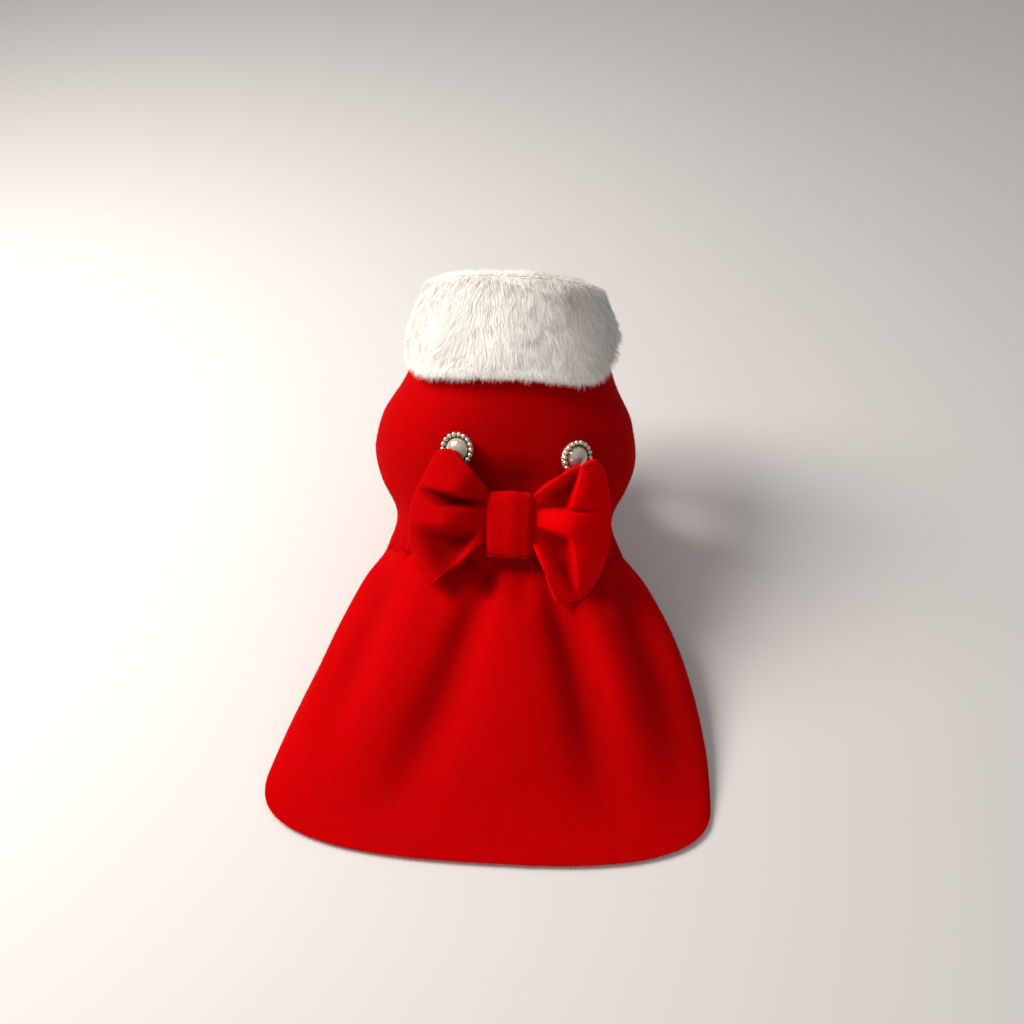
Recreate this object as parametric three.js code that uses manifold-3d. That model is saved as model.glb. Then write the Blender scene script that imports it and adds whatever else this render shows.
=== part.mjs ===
// Dog coat and skirt, worn: a napped wool coat bodice with a turned-down fur collar, a gathered
// back skirt on its waist seam, a stuffed-looking bow with a knot, and two beaded pearl buttons.
// Millimetres. +X is the wearer's right, +Y the way the wearer faces, +Z up. Every piece is first
// placed with the floor at z = 0, and the whole garment then hangs from the middle of its neck.
import * as THREE from 'three';
import { mergeVertices } from 'three/addons/utils/BufferGeometryUtils.js';
import Module from 'manifold-3d';

const wasm = await Module();
wasm.setup();

// Cloth and making
const CLOTH = 2.6;          // felted wool coating, one layer with its turnings
const SEAM_GAP = 0.3;       // clearance between pieces that are sewn or rest together
const FUR_EDGE = 11;        // fur collar, hide and pile, near its outer edge
const FUR_ROLL = 15;        // the same at the roll, where the collar turns over
const SMALL_STEP = 0.001;   // step of the parameters when a slope is measured

// Bodice
const SIDE_SEAM_ANGLE = 112;    // from the centre back round to the side seam, degrees
const SEAM_RADIUS = 30;         // least radius at that seam, where the gap is narrowest
const LAP_ANGLE = 7;            // how far each front passes the centre front, degrees
const LAP_STEP = { from: 156, to: 171 };    // where the under front sinks below the upper one
// The fronts end this much of the bodice's length above the waist, from this angle round
const BELLY = { rise: 0.3, angle: 165 };
const ARMHOLE = { angle: 118, along: 0.63, halfWidth: 23, halfHeight: 29, reach: 34 };

// Collar
const COLLAR_EDGE = 0.69;       // outer edge, as a fraction of the way from waist to neck
const COLLAR_DROP = 0.045;      // how much lower that edge hangs either side of the back
const COLLAR_FLARE = 4;         // how far it stands off the shoulders
const COLLAR_TOP = 1.07;        // the roll stands this far above the neck seam
const COLLAR_END_ANGLE = 166;   // centre back to each front end, degrees
const COLLAR_ROUND_FROM = 146;  // where the front ends begin to round off, degrees
const COLLAR_END_SHARE = 0.55;  // what is left of its width and thickness at each end
// Where the outer edge hangs lowest, degrees round from the back, and how far that spreads
const COLLAR_LOWEST = { angle: 50, spread: 25 };
// Its edge rises again round the shoulders, by this much between these angles
const COLLAR_RISE = { rise: 0.11, from: 52, to: 95 };
// Powers that square its rounded section: below 1 is flatter and fuller than an ellipse
const COLLAR_SQUARE = { wide: 0.62, thick: 0.75 };

// Bow
const BOW = { x: 5, along: 0.141, knotWidth: 26, knotHeight: 38, pinchHeight: 26 };
// How much closer to the body than the knot a loop's outer fold lies; the tips ride over the skirt
const BOW_DROOP = { corner: -5.5, middle: 4, tip: -12 };
const LOOP_FULLNESS = 12;       // height of a loop's front above its middle
const LOOP_BACK = 3;          // depth of a loop's back below its middle

// Buttons, 32 ligne
const BUTTON = {
  rimRadius: 8.6, plateRadius: 8.4, plateHeight: 3.2, cupRadius: 5.9, cupDepth: 1.4,
  pearlRadius: 5.6, pearlHeight: 4, ballRadius: 1.4, balls: 18, shankRadius: 2.2, shankLength: 1.5,
  tilt: 9,
};
const BUTTON_PLACES = [
  { side: 'left', x: -27, along: 0.435 },
  { side: 'right', x: 43, along: 0.425 },
];

// The bodice's girths from waist seam to neck. Each is an oval between its centre back and its
// centre front; power 2 is an ellipse, more is squarer.
const GIRTHS = [
  { backY: 25, backZ: 74, frontY: 98, frontZ: 12, halfWidth: 70.5, shift: 0.5, power: 2.3 },    // waist
  { backY: 37.9, backZ: 89.3, frontY: 114, frontZ: 26, halfWidth: 65, shift: -1, power: 2.2 },  // narrowest
  { backY: 50.7, backZ: 104.6, frontY: 135, frontZ: 36, halfWidth: 74, shift: -2, power: 2.2 }, // ribs
  { backY: 63.6, backZ: 120, frontY: 155, frontZ: 44, halfWidth: 80, shift: -2.5, power: 2.2 }, // chest
  { backY: 76, backZ: 136, frontY: 172, frontZ: 57, halfWidth: 76, shift: -2, power: 2.2 },     // shoulders
  { backY: 89, backZ: 152, frontY: 184, frontZ: 77, halfWidth: 64, shift: -1, power: 2.1 },     // collar edge
  { backY: 106, backZ: 172, frontY: 190, frontZ: 104, halfWidth: 54, shift: 0, power: 2 },      // nape
  { backY: 124, backZ: 191, frontY: 187, frontZ: 133, halfWidth: 45, shift: 0, power: 2 },      // neck seam
];

// The skirt's cross sections from the waist seam down to the hem: an arch over the ridge, down to
// the two free side edges. Wrap is the angle from the ridge to the edge, 90 at the widest place.
const ARCHES = [
  { down: 0, ridgeY: 24.7, ridgeZ: 73.6, sideY: 61.2, sideZ: 42.7,
    halfWidth: 70.5, shift: 0.5, power: 2.3, wrap: 108 },
  { down: 0.08, ridgeY: 11, ridgeZ: 71, sideY: 53, sideZ: 41,
    halfWidth: 75.5, shift: 2, power: 2.25, wrap: 106 },
  { down: 0.2, ridgeY: -8, ridgeZ: 63.5, sideY: 38, sideZ: 36,
    halfWidth: 85, shift: 3.5, power: 2.3, wrap: 103 },
  { down: 0.4, ridgeY: -39, ridgeZ: 48, sideY: 8, sideZ: 27,
    halfWidth: 98.5, shift: 5, power: 2.4, wrap: 99 },
  { down: 0.6, ridgeY: -69, ridgeZ: 31, sideY: -24, sideZ: 17,
    halfWidth: 109.5, shift: 4.5, power: 2.5, wrap: 95 },
  { down: 0.8, ridgeY: -98, ridgeZ: 14, sideY: -56, sideZ: 8.5,
    halfWidth: 117.5, shift: 2.5, power: 2.65, wrap: 92 },
  { down: 1, ridgeY: -123, ridgeZ: 3.6, sideY: -80, sideZ: 3.6,
    halfWidth: 121, shift: 0, power: 2.7, wrap: 90 },
];

// Above 1, the skirt's rows of points lie closer together near the waist
const ROW_CROWDING = 1.15;

// The skirt's folds. Across runs from -1 at the left edge to 1 at the right one; rise is the
// height of a ridge, or the depth of a valley when it is below zero.
const SKIRT_FOLDS = [
  { acrossTop: -0.14, acrossHem: -0.42, from: 0, to: 0.97, rise: -6, widthTop: 0.045, widthHem: 0.1 },
  { acrossTop: 0.2, acrossHem: 0.5, from: 0, to: 0.94, rise: -6.4, widthTop: 0.045, widthHem: 0.1 },
  { acrossTop: 0.03, acrossHem: 0.05, from: 0.02, to: 0.98, rise: 3, widthTop: 0.08, widthHem: 0.2 },
  { acrossTop: 0.36, acrossHem: 0.6, from: 0.02, to: 0.8, rise: 3.4, widthTop: 0.06, widthHem: 0.1 },
  { acrossTop: 0.55, acrossHem: 0.84, from: 0, to: 0.85, rise: -4, widthTop: 0.05, widthHem: 0.08 },
  { acrossTop: 0.72, acrossHem: 0.95, from: 0, to: 0.6, rise: 2.4, widthTop: 0.055, widthHem: 0.06 },
  { acrossTop: -0.36, acrossHem: -0.6, from: 0.02, to: 0.85, rise: 2.8, widthTop: 0.06, widthHem: 0.1 },
  { acrossTop: -0.56, acrossHem: -0.76, from: 0, to: 0.8, rise: -3.2, widthTop: 0.04, widthHem: 0.08 },
  { acrossTop: -0.78, acrossHem: -0.9, from: 0, to: 0.7, rise: 2.2, widthTop: 0.05, widthHem: 0.06 },
  { acrossTop: -0.03, acrossHem: -0.04, from: 0, to: 0.16, rise: -3, widthTop: 0.035, widthHem: 0.035 },
  { acrossTop: 0.1, acrossHem: 0.14, from: 0, to: 0.22, rise: -1.8, widthTop: 0.036, widthHem: 0.04 },
  { acrossTop: 0.45, acrossHem: 0.5, from: 0, to: 0.26, rise: -2.2, widthTop: 0.036, widthHem: 0.04 },
  { acrossTop: 0.84, acrossHem: 0.9, from: 0, to: 0.25, rise: -1.6, widthTop: 0.036, widthHem: 0.04 },
  { acrossTop: -0.27, acrossHem: -0.32, from: 0, to: 0.2, rise: -1.8, widthTop: 0.036, widthHem: 0.04 },
  { acrossTop: -0.68, acrossHem: -0.74, from: 0, to: 0.24, rise: -1.6, widthTop: 0.036, widthHem: 0.04 },
];

// Each loop's outer fold from its top corner to its lower tip, in the bow's own plane, measured
// from the middle of the knot.
const LOOP_FOLDS = {
  left: [
    { outX: -38, outY: 45.5 }, { outX: -48, outY: 31 }, { outX: -54, outY: 15 }, { outX: -56.7, outY: -2 },
    { outX: -55.5, outY: -15 }, { outX: -51, outY: -26 }, { outX: -42, outY: -34.5 },
  ],
  right: [
    { outX: 46, outY: 41.5 }, { outX: 52, outY: 28 }, { outX: 55.5, outY: 13 }, { outX: 56.7, outY: -2 },
    { outX: 55.5, outY: -17 }, { outX: 50, outY: -32 }, { outX: 39, outY: -42 },
  ],
};

// How far each loop's top and lower edge bulge between knot and fold: below 1 is fuller
const LOOP_BULGE = { left: { top: 1, low: 1 }, right: { top: 0.82, low: 0.72 } };

// Creases in the loops' fronts, running out from the knot. Across is 0 at the top edge and 1 at
// the lower one; out is the share of the way from the knot to the outer fold.
const LOOP_CREASES = {
  left: [
    { acrossIn: 0.36, acrossOut: 0.3, from: 0, to: 0.8, rise: -4.2, width: 0.07 },
    { acrossIn: 0.2, acrossOut: 0.16, from: 0.05, to: 0.95, rise: 2.2, width: 0.1 },
    { acrossIn: 0.62, acrossOut: 0.55, from: 0.05, to: 0.95, rise: 1.8, width: 0.11 },
    { acrossIn: 0.82, acrossOut: 0.78, from: 0.1, to: 0.9, rise: -3.8, width: 0.08 },
  ],
  right: [
    { acrossIn: 0.28, acrossOut: 0.24, from: 0.05, to: 0.75, rise: -4, width: 0.07 },
    { acrossIn: 0.44, acrossOut: 0.46, from: 0, to: 0.95, rise: -1.6, width: 0.045 },
    { acrossIn: 0.58, acrossOut: 0.58, from: 0.05, to: 0.95, rise: 2, width: 0.1 },
    { acrossIn: 0.76, acrossOut: 0.76, from: 0.05, to: 0.85, rise: -4, width: 0.07 },
  ],
};

// How finely each piece is divided
const STEPS = {
  back: { across: 36, along: 15 },
  front: { across: 11, along: 12 },
  collar: { round: 44, section: 12 },
  skirt: { across: 60, down: 16 },
  loop: { across: 12, out: 24 },
  knot: { round: 28, across: 5 },
  plate: 22,
  pearl: { round: 20, up: 5 },
  ball: { round: 6, up: 4 },
};

const cloth = () => new THREE.MeshStandardMaterial({ color: 0xc40508, roughness: 0.95, metalness: 0 });
const fur = () => new THREE.MeshStandardMaterial({ color: 0xf2e9dd, roughness: 1, metalness: 0 });
const silver = () => new THREE.MeshStandardMaterial({ color: 0xb3a58c, roughness: 0.35, metalness: 1 });
const pearl = () => new THREE.MeshStandardMaterial({ color: 0xf1e9e2, roughness: 0.2, metalness: 0 });

// Value of one column of a table at a place from 0 to 1, on a smooth curve through its rows
function columnAt(rows, column, place) {
  const last = rows.length - 1;
  const index = THREE.MathUtils.clamp(Math.floor(place * last), 0, last - 1);
  const t = place * last - index;
  const value = (row) => rows[THREE.MathUtils.clamp(row, 0, last)][column];
  const start = value(index);
  const end = value(index + 1);
  const startSlope = (end - value(index - 1)) / 2;
  const endSlope = (value(index + 2) - start) / 2;
  const rise = 3 * (end - start) - 2 * startSlope - endSlope;
  const turn = 2 * (start - end) + startSlope + endSlope;
  return start + t * (startSlope + t * (rise + t * turn));
}

// The place in a table whose rows are unevenly spaced, where its key column has the value
function placeOf(rows, key, value) {
  const last = rows.length - 1;
  let index = 0;
  while (index < last - 1 && rows[index + 1][key] < value) index += 1;
  const share = (value - rows[index][key]) / (rows[index + 1][key] - rows[index][key]);
  return (index + share) / last;
}

// A soft hump of height 1 around zero
const hump = (distance, width) => Math.exp(-0.5 * (distance / width) ** 2);

// Rises from 0 to 1 between two values and eases at both ends
const ease = (value, from, to) => THREE.MathUtils.smoothstep(value, from, to);

// A power that keeps the sign of its base
const signedPower = (base, power) => Math.sign(base) * Math.abs(base) ** power;

// A point of an oval: angle 0 at its top point, 90 degrees at its widest place on the right
function ovalPoint(top, middle, halfWidth, shift, power, angle) {
  const rise = signedPower(Math.cos(angle), 2 / power);
  const side = signedPower(Math.sin(angle), 2 / power);
  return middle.clone().lerp(top, rise).setX(shift + halfWidth * side);
}

// A point of the coat's outer face: along is 0 at the waist seam and 1 at the neck seam
function coatPoint(along, angle) {
  const within = THREE.MathUtils.clamp(along, 0, 1);
  const girth = (column) => columnAt(GIRTHS, column, within);
  const back = new THREE.Vector3(0, girth('backY'), girth('backZ'));
  const front = new THREE.Vector3(0, girth('frontY'), girth('frontZ'));
  const middle = back.clone().lerp(front, 0.5);
  const point = ovalPoint(back, middle, girth('halfWidth'), girth('shift'), girth('power'), angle);
  if (along > 1) {
    const before = coatPoint(1 - SMALL_STEP, angle);
    point.addScaledVector(point.clone().sub(before), (along - 1) / SMALL_STEP);
  }
  return point;
}

// The direction that points out of the coat's face
function coatNormal(along, angle) {
  const at = Math.min(along, 1 - SMALL_STEP);
  const here = coatPoint(at, angle);
  const round = coatPoint(at, angle + SMALL_STEP).sub(here);
  const up = coatPoint(at + SMALL_STEP, angle).sub(here);
  return round.cross(up).normalize();
}

// A point that stands off the coat's face by the lift
function offCoat(along, angle, lift) {
  return coatPoint(along, angle).addScaledVector(coatNormal(along, angle), lift);
}

// The angle at which the coat's back is x away from its centre line
function angleAt(along, x) {
  const aside = x - columnAt(GIRTHS, 'shift', along);
  const share = aside / columnAt(GIRTHS, 'halfWidth', along);
  return Math.asin(signedPower(share, columnAt(GIRTHS, 'power', along) / 2));
}

// Volume inside a closed set of triangles, above zero when they face outwards
function volumeOf(points, triangles) {
  let volume = 0;
  for (const [a, b, c] of triangles) {
    volume += points[a].dot(points[b].clone().cross(points[c])) / 6;
  }
  return volume;
}

// A closed geometry of points and triangles, turned to face outwards
function closedGeometry(points, triangles) {
  const outward = volumeOf(points, triangles) > 0;
  const index = triangles.flatMap(([a, b, c]) => (outward ? [a, b, c] : [a, c, b]));
  const geometry = new THREE.BufferGeometry().setFromPoints(points);
  geometry.setIndex(index);
  geometry.computeVertexNormals();
  return geometry;
}

// Two triangles for each cell of a grid that is columns + 1 points wide, starting at an offset
function gridTriangles(columns, rows, offset, flip) {
  const triangles = [];
  for (let row = 0; row < rows; row += 1) {
    for (let column = 0; column < columns; column += 1) {
      const a = offset + row * (columns + 1) + column;
      const b = a + 1;
      const c = a + columns + 1;
      const d = c + 1;
      triangles.push(flip ? [a, c, b] : [a, b, c], flip ? [b, c, d] : [b, d, c]);
    }
  }
  return triangles;
}

// A wall of cloth: an outer grid of points, an inner one, and the four edges between them
function wallGeometry(columns, rows, outer, inner) {
  const points = [...outer, ...inner];
  const shift = outer.length;
  const triangles = [
    ...gridTriangles(columns, rows, 0, false),
    ...gridTriangles(columns, rows, shift, true),
  ];
  const edge = (a, b) => triangles.push([a, a + shift, b], [b, a + shift, b + shift]);
  const lastRow = rows * (columns + 1);
  for (let column = 0; column < columns; column += 1) {
    edge(column, column + 1);
    edge(lastRow + column + 1, lastRow + column);
  }
  for (let row = 0; row < rows; row += 1) {
    const start = row * (columns + 1);
    edge(start + columns + 1, start);
    edge(start + columns, start + 2 * columns + 1);
  }
  return closedGeometry(points, triangles);
}

// A closed loop of points carried through many places, joined up and capped at both ends;
// where it comes back to its start it is joined to itself
function loftGeometry(loops, joined) {
  const size = loops[0].length;
  const points = loops.flat();
  const triangles = [];
  const last = joined ? loops.length : loops.length - 1;
  for (let place = 0; place < last; place += 1) {
    const here = place * size;
    const next = ((place + 1) % loops.length) * size;
    for (let step = 0; step < size; step += 1) {
      const after = (step + 1) % size;
      triangles.push([here + step, here + after, next + step]);
      triangles.push([here + after, next + after, next + step]);
    }
  }
  if (!joined) {
    const capStart = points.push(middleOf(loops[0])) - 1;
    const capEnd = points.push(middleOf(loops.at(-1))) - 1;
    const lastLoop = (loops.length - 1) * size;
    for (let step = 0; step < size; step += 1) {
      const after = (step + 1) % size;
      triangles.push([capStart, after, step]);
      triangles.push([capEnd, lastLoop + step, lastLoop + after]);
    }
  }
  return closedGeometry(points, triangles);
}

// The mean of a list of points
function middleOf(points) {
  const sum = new THREE.Vector3();
  points.forEach((point) => sum.add(point));
  return sum.divideScalar(points.length);
}

// Grid of points from a function of two shares, both running from 0 to 1
function gridPoints(columns, rows, pointAt) {
  const points = [];
  for (let row = 0; row <= rows; row += 1) {
    for (let column = 0; column <= columns; column += 1) {
      points.push(pointAt(column / columns, row / rows));
    }
  }
  return points;
}

// Outward directions of a grid of points, from the slopes between neighbours
function gridNormals(columns, rows, points, towards) {
  const at = (column, row) => points[
    THREE.MathUtils.clamp(row, 0, rows) * (columns + 1) + THREE.MathUtils.clamp(column, 0, columns)];
  return gridPoints(columns, rows, (across, down) => {
    const column = Math.round(across * columns);
    const row = Math.round(down * rows);
    const side = at(column + 1, row).clone().sub(at(column - 1, row));
    const along = at(column, row + 1).clone().sub(at(column, row - 1));
    return side.cross(along).normalize().multiplyScalar(towards);
  });
}

// Boolean cuts, on closed geometries whose shared points are merged
function solidOf(geometry) {
  const bare = geometry.clone();
  bare.deleteAttribute('normal');
  bare.deleteAttribute('uv');
  const merged = mergeVertices(bare);
  return new wasm.Manifold(new wasm.Mesh({
    numProp: 3,
    vertProperties: Float32Array.from(merged.attributes.position.array),
    triVerts: Uint32Array.from(merged.index.array),
  }));
}

function geometryOf(solid) {
  const mesh = solid.getMesh();
  const geometry = new THREE.BufferGeometry();
  geometry.setAttribute('position', new THREE.BufferAttribute(mesh.vertProperties, 3));
  geometry.setIndex(new THREE.BufferAttribute(mesh.triVerts, 1));
  geometry.computeVertexNormals();
  return geometry;
}

const radians = THREE.MathUtils.degToRad;

// The oval rod that cuts an armhole: through the coat, square to its face
function armholeCutter(side) {
  const angle = radians(side * ARMHOLE.angle);
  const centre = coatPoint(ARMHOLE.along, angle);
  const outward = coatNormal(ARMHOLE.along, angle);
  const forward = coatPoint(ARMHOLE.along + SMALL_STEP, angle).sub(centre).normalize();
  const round = new THREE.Vector3().crossVectors(outward, forward).normalize();
  const rod = new THREE.CylinderGeometry(1, 1, 2 * ARMHOLE.reach, 28);
  rod.scale(ARMHOLE.halfWidth, 1, ARMHOLE.halfHeight);
  rod.applyMatrix4(new THREE.Matrix4().makeBasis(round, outward, forward).setPosition(centre));
  return solidOf(rod);
}

// One panel of the bodice, between two angles and from its lower edge to the neck seam
function bodicePanel(steps, fromAngle, toAngle, lowerEdge, lift) {
  const place = (across, along) => {
    const angle = THREE.MathUtils.lerp(fromAngle, toAngle, across);
    const low = lowerEdge(Math.abs(angle));
    return { angle, along: THREE.MathUtils.lerp(low, 1, along) };
  };
  const layer = (depth) => gridPoints(steps.across, steps.along, (across, along) => {
    const at = place(across, along);
    return offCoat(at.along, at.angle, lift(Math.abs(at.angle)) - depth);
  });
  let panel = solidOf(wallGeometry(steps.across, steps.along, layer(0), layer(CLOTH)));
  for (const side of [-1, 1]) panel = panel.subtract(armholeCutter(side));
  return geometryOf(panel);
}

// The fronts are cut shorter than the back, in a curve from the side seam to the belly
function frontLowerEdge(angle) {
  return BELLY.rise * ease(angle, radians(SIDE_SEAM_ANGLE), radians(BELLY.angle));
}

function underFrontLift(angle) {
  const sunk = ease(angle, radians(LAP_STEP.from), radians(LAP_STEP.to));
  return -(CLOTH + SEAM_GAP) * sunk;
}

function bodiceBack() {
  const edge = radians(SIDE_SEAM_ANGLE);
  return bodicePanel(STEPS.back, -edge, edge, () => 0, () => 0);
}

function bodiceFront(side, lift) {
  const seam = radians(SIDE_SEAM_ANGLE) + SEAM_GAP / SEAM_RADIUS;
  const centre = radians(180 + LAP_ANGLE);
  return bodicePanel(STEPS.front, side * seam, side * centre, frontLowerEdge, lift);
}

// The collar's section at an angle: a rounded slab that lies on the coat, thickest at its roll
function collarLoop(angle) {
  const past = Math.max(0, Math.abs(angle) - radians(COLLAR_ROUND_FROM));
  const share = past / radians(COLLAR_END_ANGLE - COLLAR_ROUND_FROM);
  const left = Math.sqrt(1 - Math.min(share, 1) ** 2);
  const rounding = THREE.MathUtils.lerp(COLLAR_END_SHARE, 1, left);
  const aside = Math.sin(angle) ** 2;
  const fromLowest = Math.abs(angle) - radians(COLLAR_LOWEST.angle);
  const { rise, from, to } = COLLAR_RISE;
  const edge = COLLAR_EDGE - COLLAR_DROP * hump(fromLowest, radians(COLLAR_LOWEST.spread))
    + rise * ease(Math.abs(angle), radians(from), radians(to));
  const middle = (COLLAR_TOP + edge) / 2;
  const half = ((COLLAR_TOP - edge) / 2) * rounding;
  const loop = [];
  for (let step = 0; step < STEPS.collar.section; step += 1) {
    const turn = (2 * Math.PI * step) / STEPS.collar.section;
    const slide = signedPower(Math.cos(turn), COLLAR_SQUARE.wide);
    const height = 0.5 + 0.5 * signedPower(Math.sin(turn), COLLAR_SQUARE.thick);
    const thickness = THREE.MathUtils.lerp(FUR_EDGE, FUR_ROLL, 0.5 + 0.5 * slide) * rounding;
    const stand = 1.6 * SEAM_GAP + COLLAR_FLARE * aside * (0.5 - 0.5 * slide) ** 2;
    loop.push(offCoat(middle + half * slide, angle, stand + height * thickness));
  }
  return loop;
}

function collar() {
  const end = radians(COLLAR_END_ANGLE);
  const loops = [];
  for (let step = 0; step <= STEPS.collar.round; step += 1) {
    loops.push(collarLoop(THREE.MathUtils.lerp(-end, end, step / STEPS.collar.round)));
  }
  return loftGeometry(loops, false);
}

// One cross section of the skirt, as points evenly spaced along the cloth
function skirtArch(down) {
  const place = placeOf(ARCHES, 'down', down);
  const arch = (column) => columnAt(ARCHES, column, place);
  const ridge = new THREE.Vector3(0, arch('ridgeY'), arch('ridgeZ'));
  const middle = new THREE.Vector3(0, arch('sideY'), arch('sideZ'));
  const wrap = radians(arch('wrap'));
  const samples = [];
  const sampleCount = 120;
  for (let step = 0; step <= sampleCount; step += 1) {
    const angle = THREE.MathUtils.lerp(-wrap, wrap, step / sampleCount);
    samples.push(ovalPoint(ridge, middle, arch('halfWidth'), arch('shift'), arch('power'), angle));
  }
  const curve = new THREE.CatmullRomCurve3(samples);
  curve.arcLengthDivisions = 4 * sampleCount;
  return curve.getSpacedPoints(STEPS.skirt.across);
}

// How far the skirt's folds lift its face at a place
function foldHeight(across, down) {
  let height = 0;
  for (const fold of SKIRT_FOLDS) {
    const centre = THREE.MathUtils.lerp(fold.acrossTop, fold.acrossHem, down);
    const width = THREE.MathUtils.lerp(fold.widthTop, fold.widthHem, down);
    const length = fold.to - fold.from;
    const starts = ease(down, fold.from - 0.02, fold.from + 0.3 * length);
    const ends = 1 - ease(down, fold.to - 0.5 * length, fold.to);
    height += fold.rise * starts * ends * hump(across - centre, width);
  }
  return height;
}

function skirt() {
  const { across: columns, down: rows } = STEPS.skirt;
  const base = [];
  for (let row = 0; row <= rows; row += 1) base.push(...skirtArch((row / rows) ** ROW_CROWDING));
  const normals = gridNormals(columns, rows, base, 1);
  if (normals[Math.round(columns / 2)].z < 0) normals.forEach((normal) => normal.negate());
  const layer = (depth) => gridPoints(columns, rows, (across, down) => {
    const index = Math.round(down * rows) * (columns + 1) + Math.round(across * columns);
    const height = foldHeight(2 * across - 1, down ** ROW_CROWDING) - depth;
    return base[index].clone().addScaledVector(normals[index], height);
  });
  return wallGeometry(columns, rows, layer(0), layer(CLOTH));
}

// The bow's own place: its middle on the coat, with x across, y up the back and z outwards
const bowAngle = angleAt(BOW.along, BOW.x);
const bowOutward = coatNormal(BOW.along, bowAngle);
const bowUp = new THREE.Vector3(0, bowOutward.z, -bowOutward.y).normalize();
const bowAcross = new THREE.Vector3().crossVectors(bowUp, bowOutward).normalize();
const bowPlace = new THREE.Matrix4()
  .makeBasis(bowAcross, bowUp, bowOutward)
  .setPosition(coatPoint(BOW.along, bowAngle));

// Stack under the knot, from the coat outwards: knot, loop's back, loop's front, knot
const LOOP_MIDDLE = SEAM_GAP + CLOTH + SEAM_GAP + CLOTH + SEAM_GAP / 2;
const KNOT_TOP = 2 * LOOP_MIDDLE - SEAM_GAP;

// Height of the creases in a loop's front
function creaseHeight(side, across, out) {
  let height = 0;
  for (const crease of LOOP_CREASES[side]) {
    const centre = THREE.MathUtils.lerp(crease.acrossIn, crease.acrossOut, out);
    const length = crease.to - crease.from;
    const starts = ease(out, crease.from, crease.from + 0.35 * length);
    const ends = 1 - ease(out, crease.to - 0.5 * length, crease.to);
    height += crease.rise * starts * ends * hump(across - centre, crease.width);
  }
  return height;
}

// A loop is one strip of cloth: out from the knot along its front, round its outer fold and back
// along its hidden side. Turn runs from 0 at the front's root to 1 at the back's root.
function loopPoint(side, across, turn, depth) {
  const direction = side === 'left' ? -1 : 1;
  const out = Math.sin(Math.PI * turn) ** 0.85;
  const fold = LOOP_FOLDS[side];
  const foldX = columnAt(fold, 'outX', across);
  const pinched = (BOW.knotWidth / 2 + 3) / Math.abs(foldX);
  const spread = Math.max(0, (out - pinched) / (1 - pinched));
  const fromMiddle = (2 * across - 1) ** 2;
  const x = THREE.MathUtils.lerp(direction * SEAM_GAP / 2, foldX - direction * depth * out, out);
  const bulge = THREE.MathUtils.lerp(LOOP_BULGE[side].top, LOOP_BULGE[side].low, across);
  const y = THREE.MathUtils.lerp(
    (0.5 - across) * BOW.pinchHeight, columnAt(fold, 'outY', across), spread ** bulge);
  const atEnd = across < 0.5 ? BOW_DROOP.corner : BOW_DROOP.tip;
  const droop = THREE.MathUtils.lerp(BOW_DROOP.middle, atEnd, fromMiddle) * spread ** 1.5;
  const pinch = CLOTH + SEAM_GAP / 2;
  const round = Math.sqrt(Math.max(0, 1 - out ** 2.4));
  const front = turn <= 0.5;
  const full = (front ? LOOP_FULLNESS : LOOP_BACK) * (1 - 0.35 * fromMiddle) + CLOTH / 2;
  let lift = THREE.MathUtils.lerp(pinch, full, ease(out, pinched, 0.8));
  if (front) {
    const free = Math.min(1, 3 * round) * ease(out, pinched, pinched + 0.16);
    lift += creaseHeight(side, across, out) * free;
  }
  lift = (Math.max(lift, pinch) - depth) * THREE.MathUtils.lerp(1, round, ease(out, 0.3, 1));
  return new THREE.Vector3(x, y, LOOP_MIDDLE - droop + (front ? 1 : -1) * lift);
}

function bowLoop(side) {
  const { across: columns, out: rows } = STEPS.loop;
  const layer = (depth) => gridPoints(columns, rows, (across, turn) => loopPoint(side, across, turn, depth));
  const geometry = wallGeometry(columns, rows, layer(0), layer(CLOTH));
  return geometry.applyMatrix4(bowPlace);
}

// The knot is a band round the roots of both loops: a rounded oblong tube whose way is across
function bowKnot() {
  const { round, across } = STEPS.knot;
  const halfWidth = BOW.knotWidth / 2;
  const oblong = (turn, inset, swell) => new THREE.Vector2(
    signedPower(Math.cos(turn), 0.3) * (BOW.knotHeight / 2 - inset + swell),
    signedPower(Math.sin(turn), 0.38) * ((KNOT_TOP - SEAM_GAP) / 2 - inset + swell),
  );
  const loops = [];
  for (let step = 0; step < round; step += 1) {
    const turn = (2 * Math.PI * step) / round;
    const outer = [];
    const inner = [];
    for (let place = 0; place <= across; place += 1) {
      const x = THREE.MathUtils.lerp(-halfWidth, halfWidth, place / across);
      const swell = Math.sin(turn) > 0 ? 2.2 * (1 - (x / halfWidth) ** 2) * Math.sin(turn) : 0;
      const face = oblong(turn, 0, swell);
      const lining = oblong(turn, CLOTH, 0);
      const centre = (KNOT_TOP + SEAM_GAP) / 2;
      outer.push(new THREE.Vector3(x, face.x, centre + face.y));
      inner.unshift(new THREE.Vector3(x, lining.x, centre + lining.y));
    }
    loops.push([...outer, ...inner]);
  }
  return loftGeometry(loops, true).applyMatrix4(bowPlace);
}

// A button's place on the coat, its back a shank's length off the cloth; it leans outwards
function buttonPlace({ x, along }) {
  const angle = angleAt(along, x);
  const outward = coatNormal(along, angle);
  const turn = new THREE.Quaternion().setFromUnitVectors(new THREE.Vector3(0, 0, 1), outward);
  const lean = new THREE.Quaternion().setFromAxisAngle(
    new THREE.Vector3(0, 1, 0), Math.sign(x) * radians(BUTTON.tilt));
  turn.multiply(lean);
  const seat = offCoat(along, angle, 2 * SEAM_GAP);
  return new THREE.Matrix4().compose(seat, turn, new THREE.Vector3(1, 1, 1));
}

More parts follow.
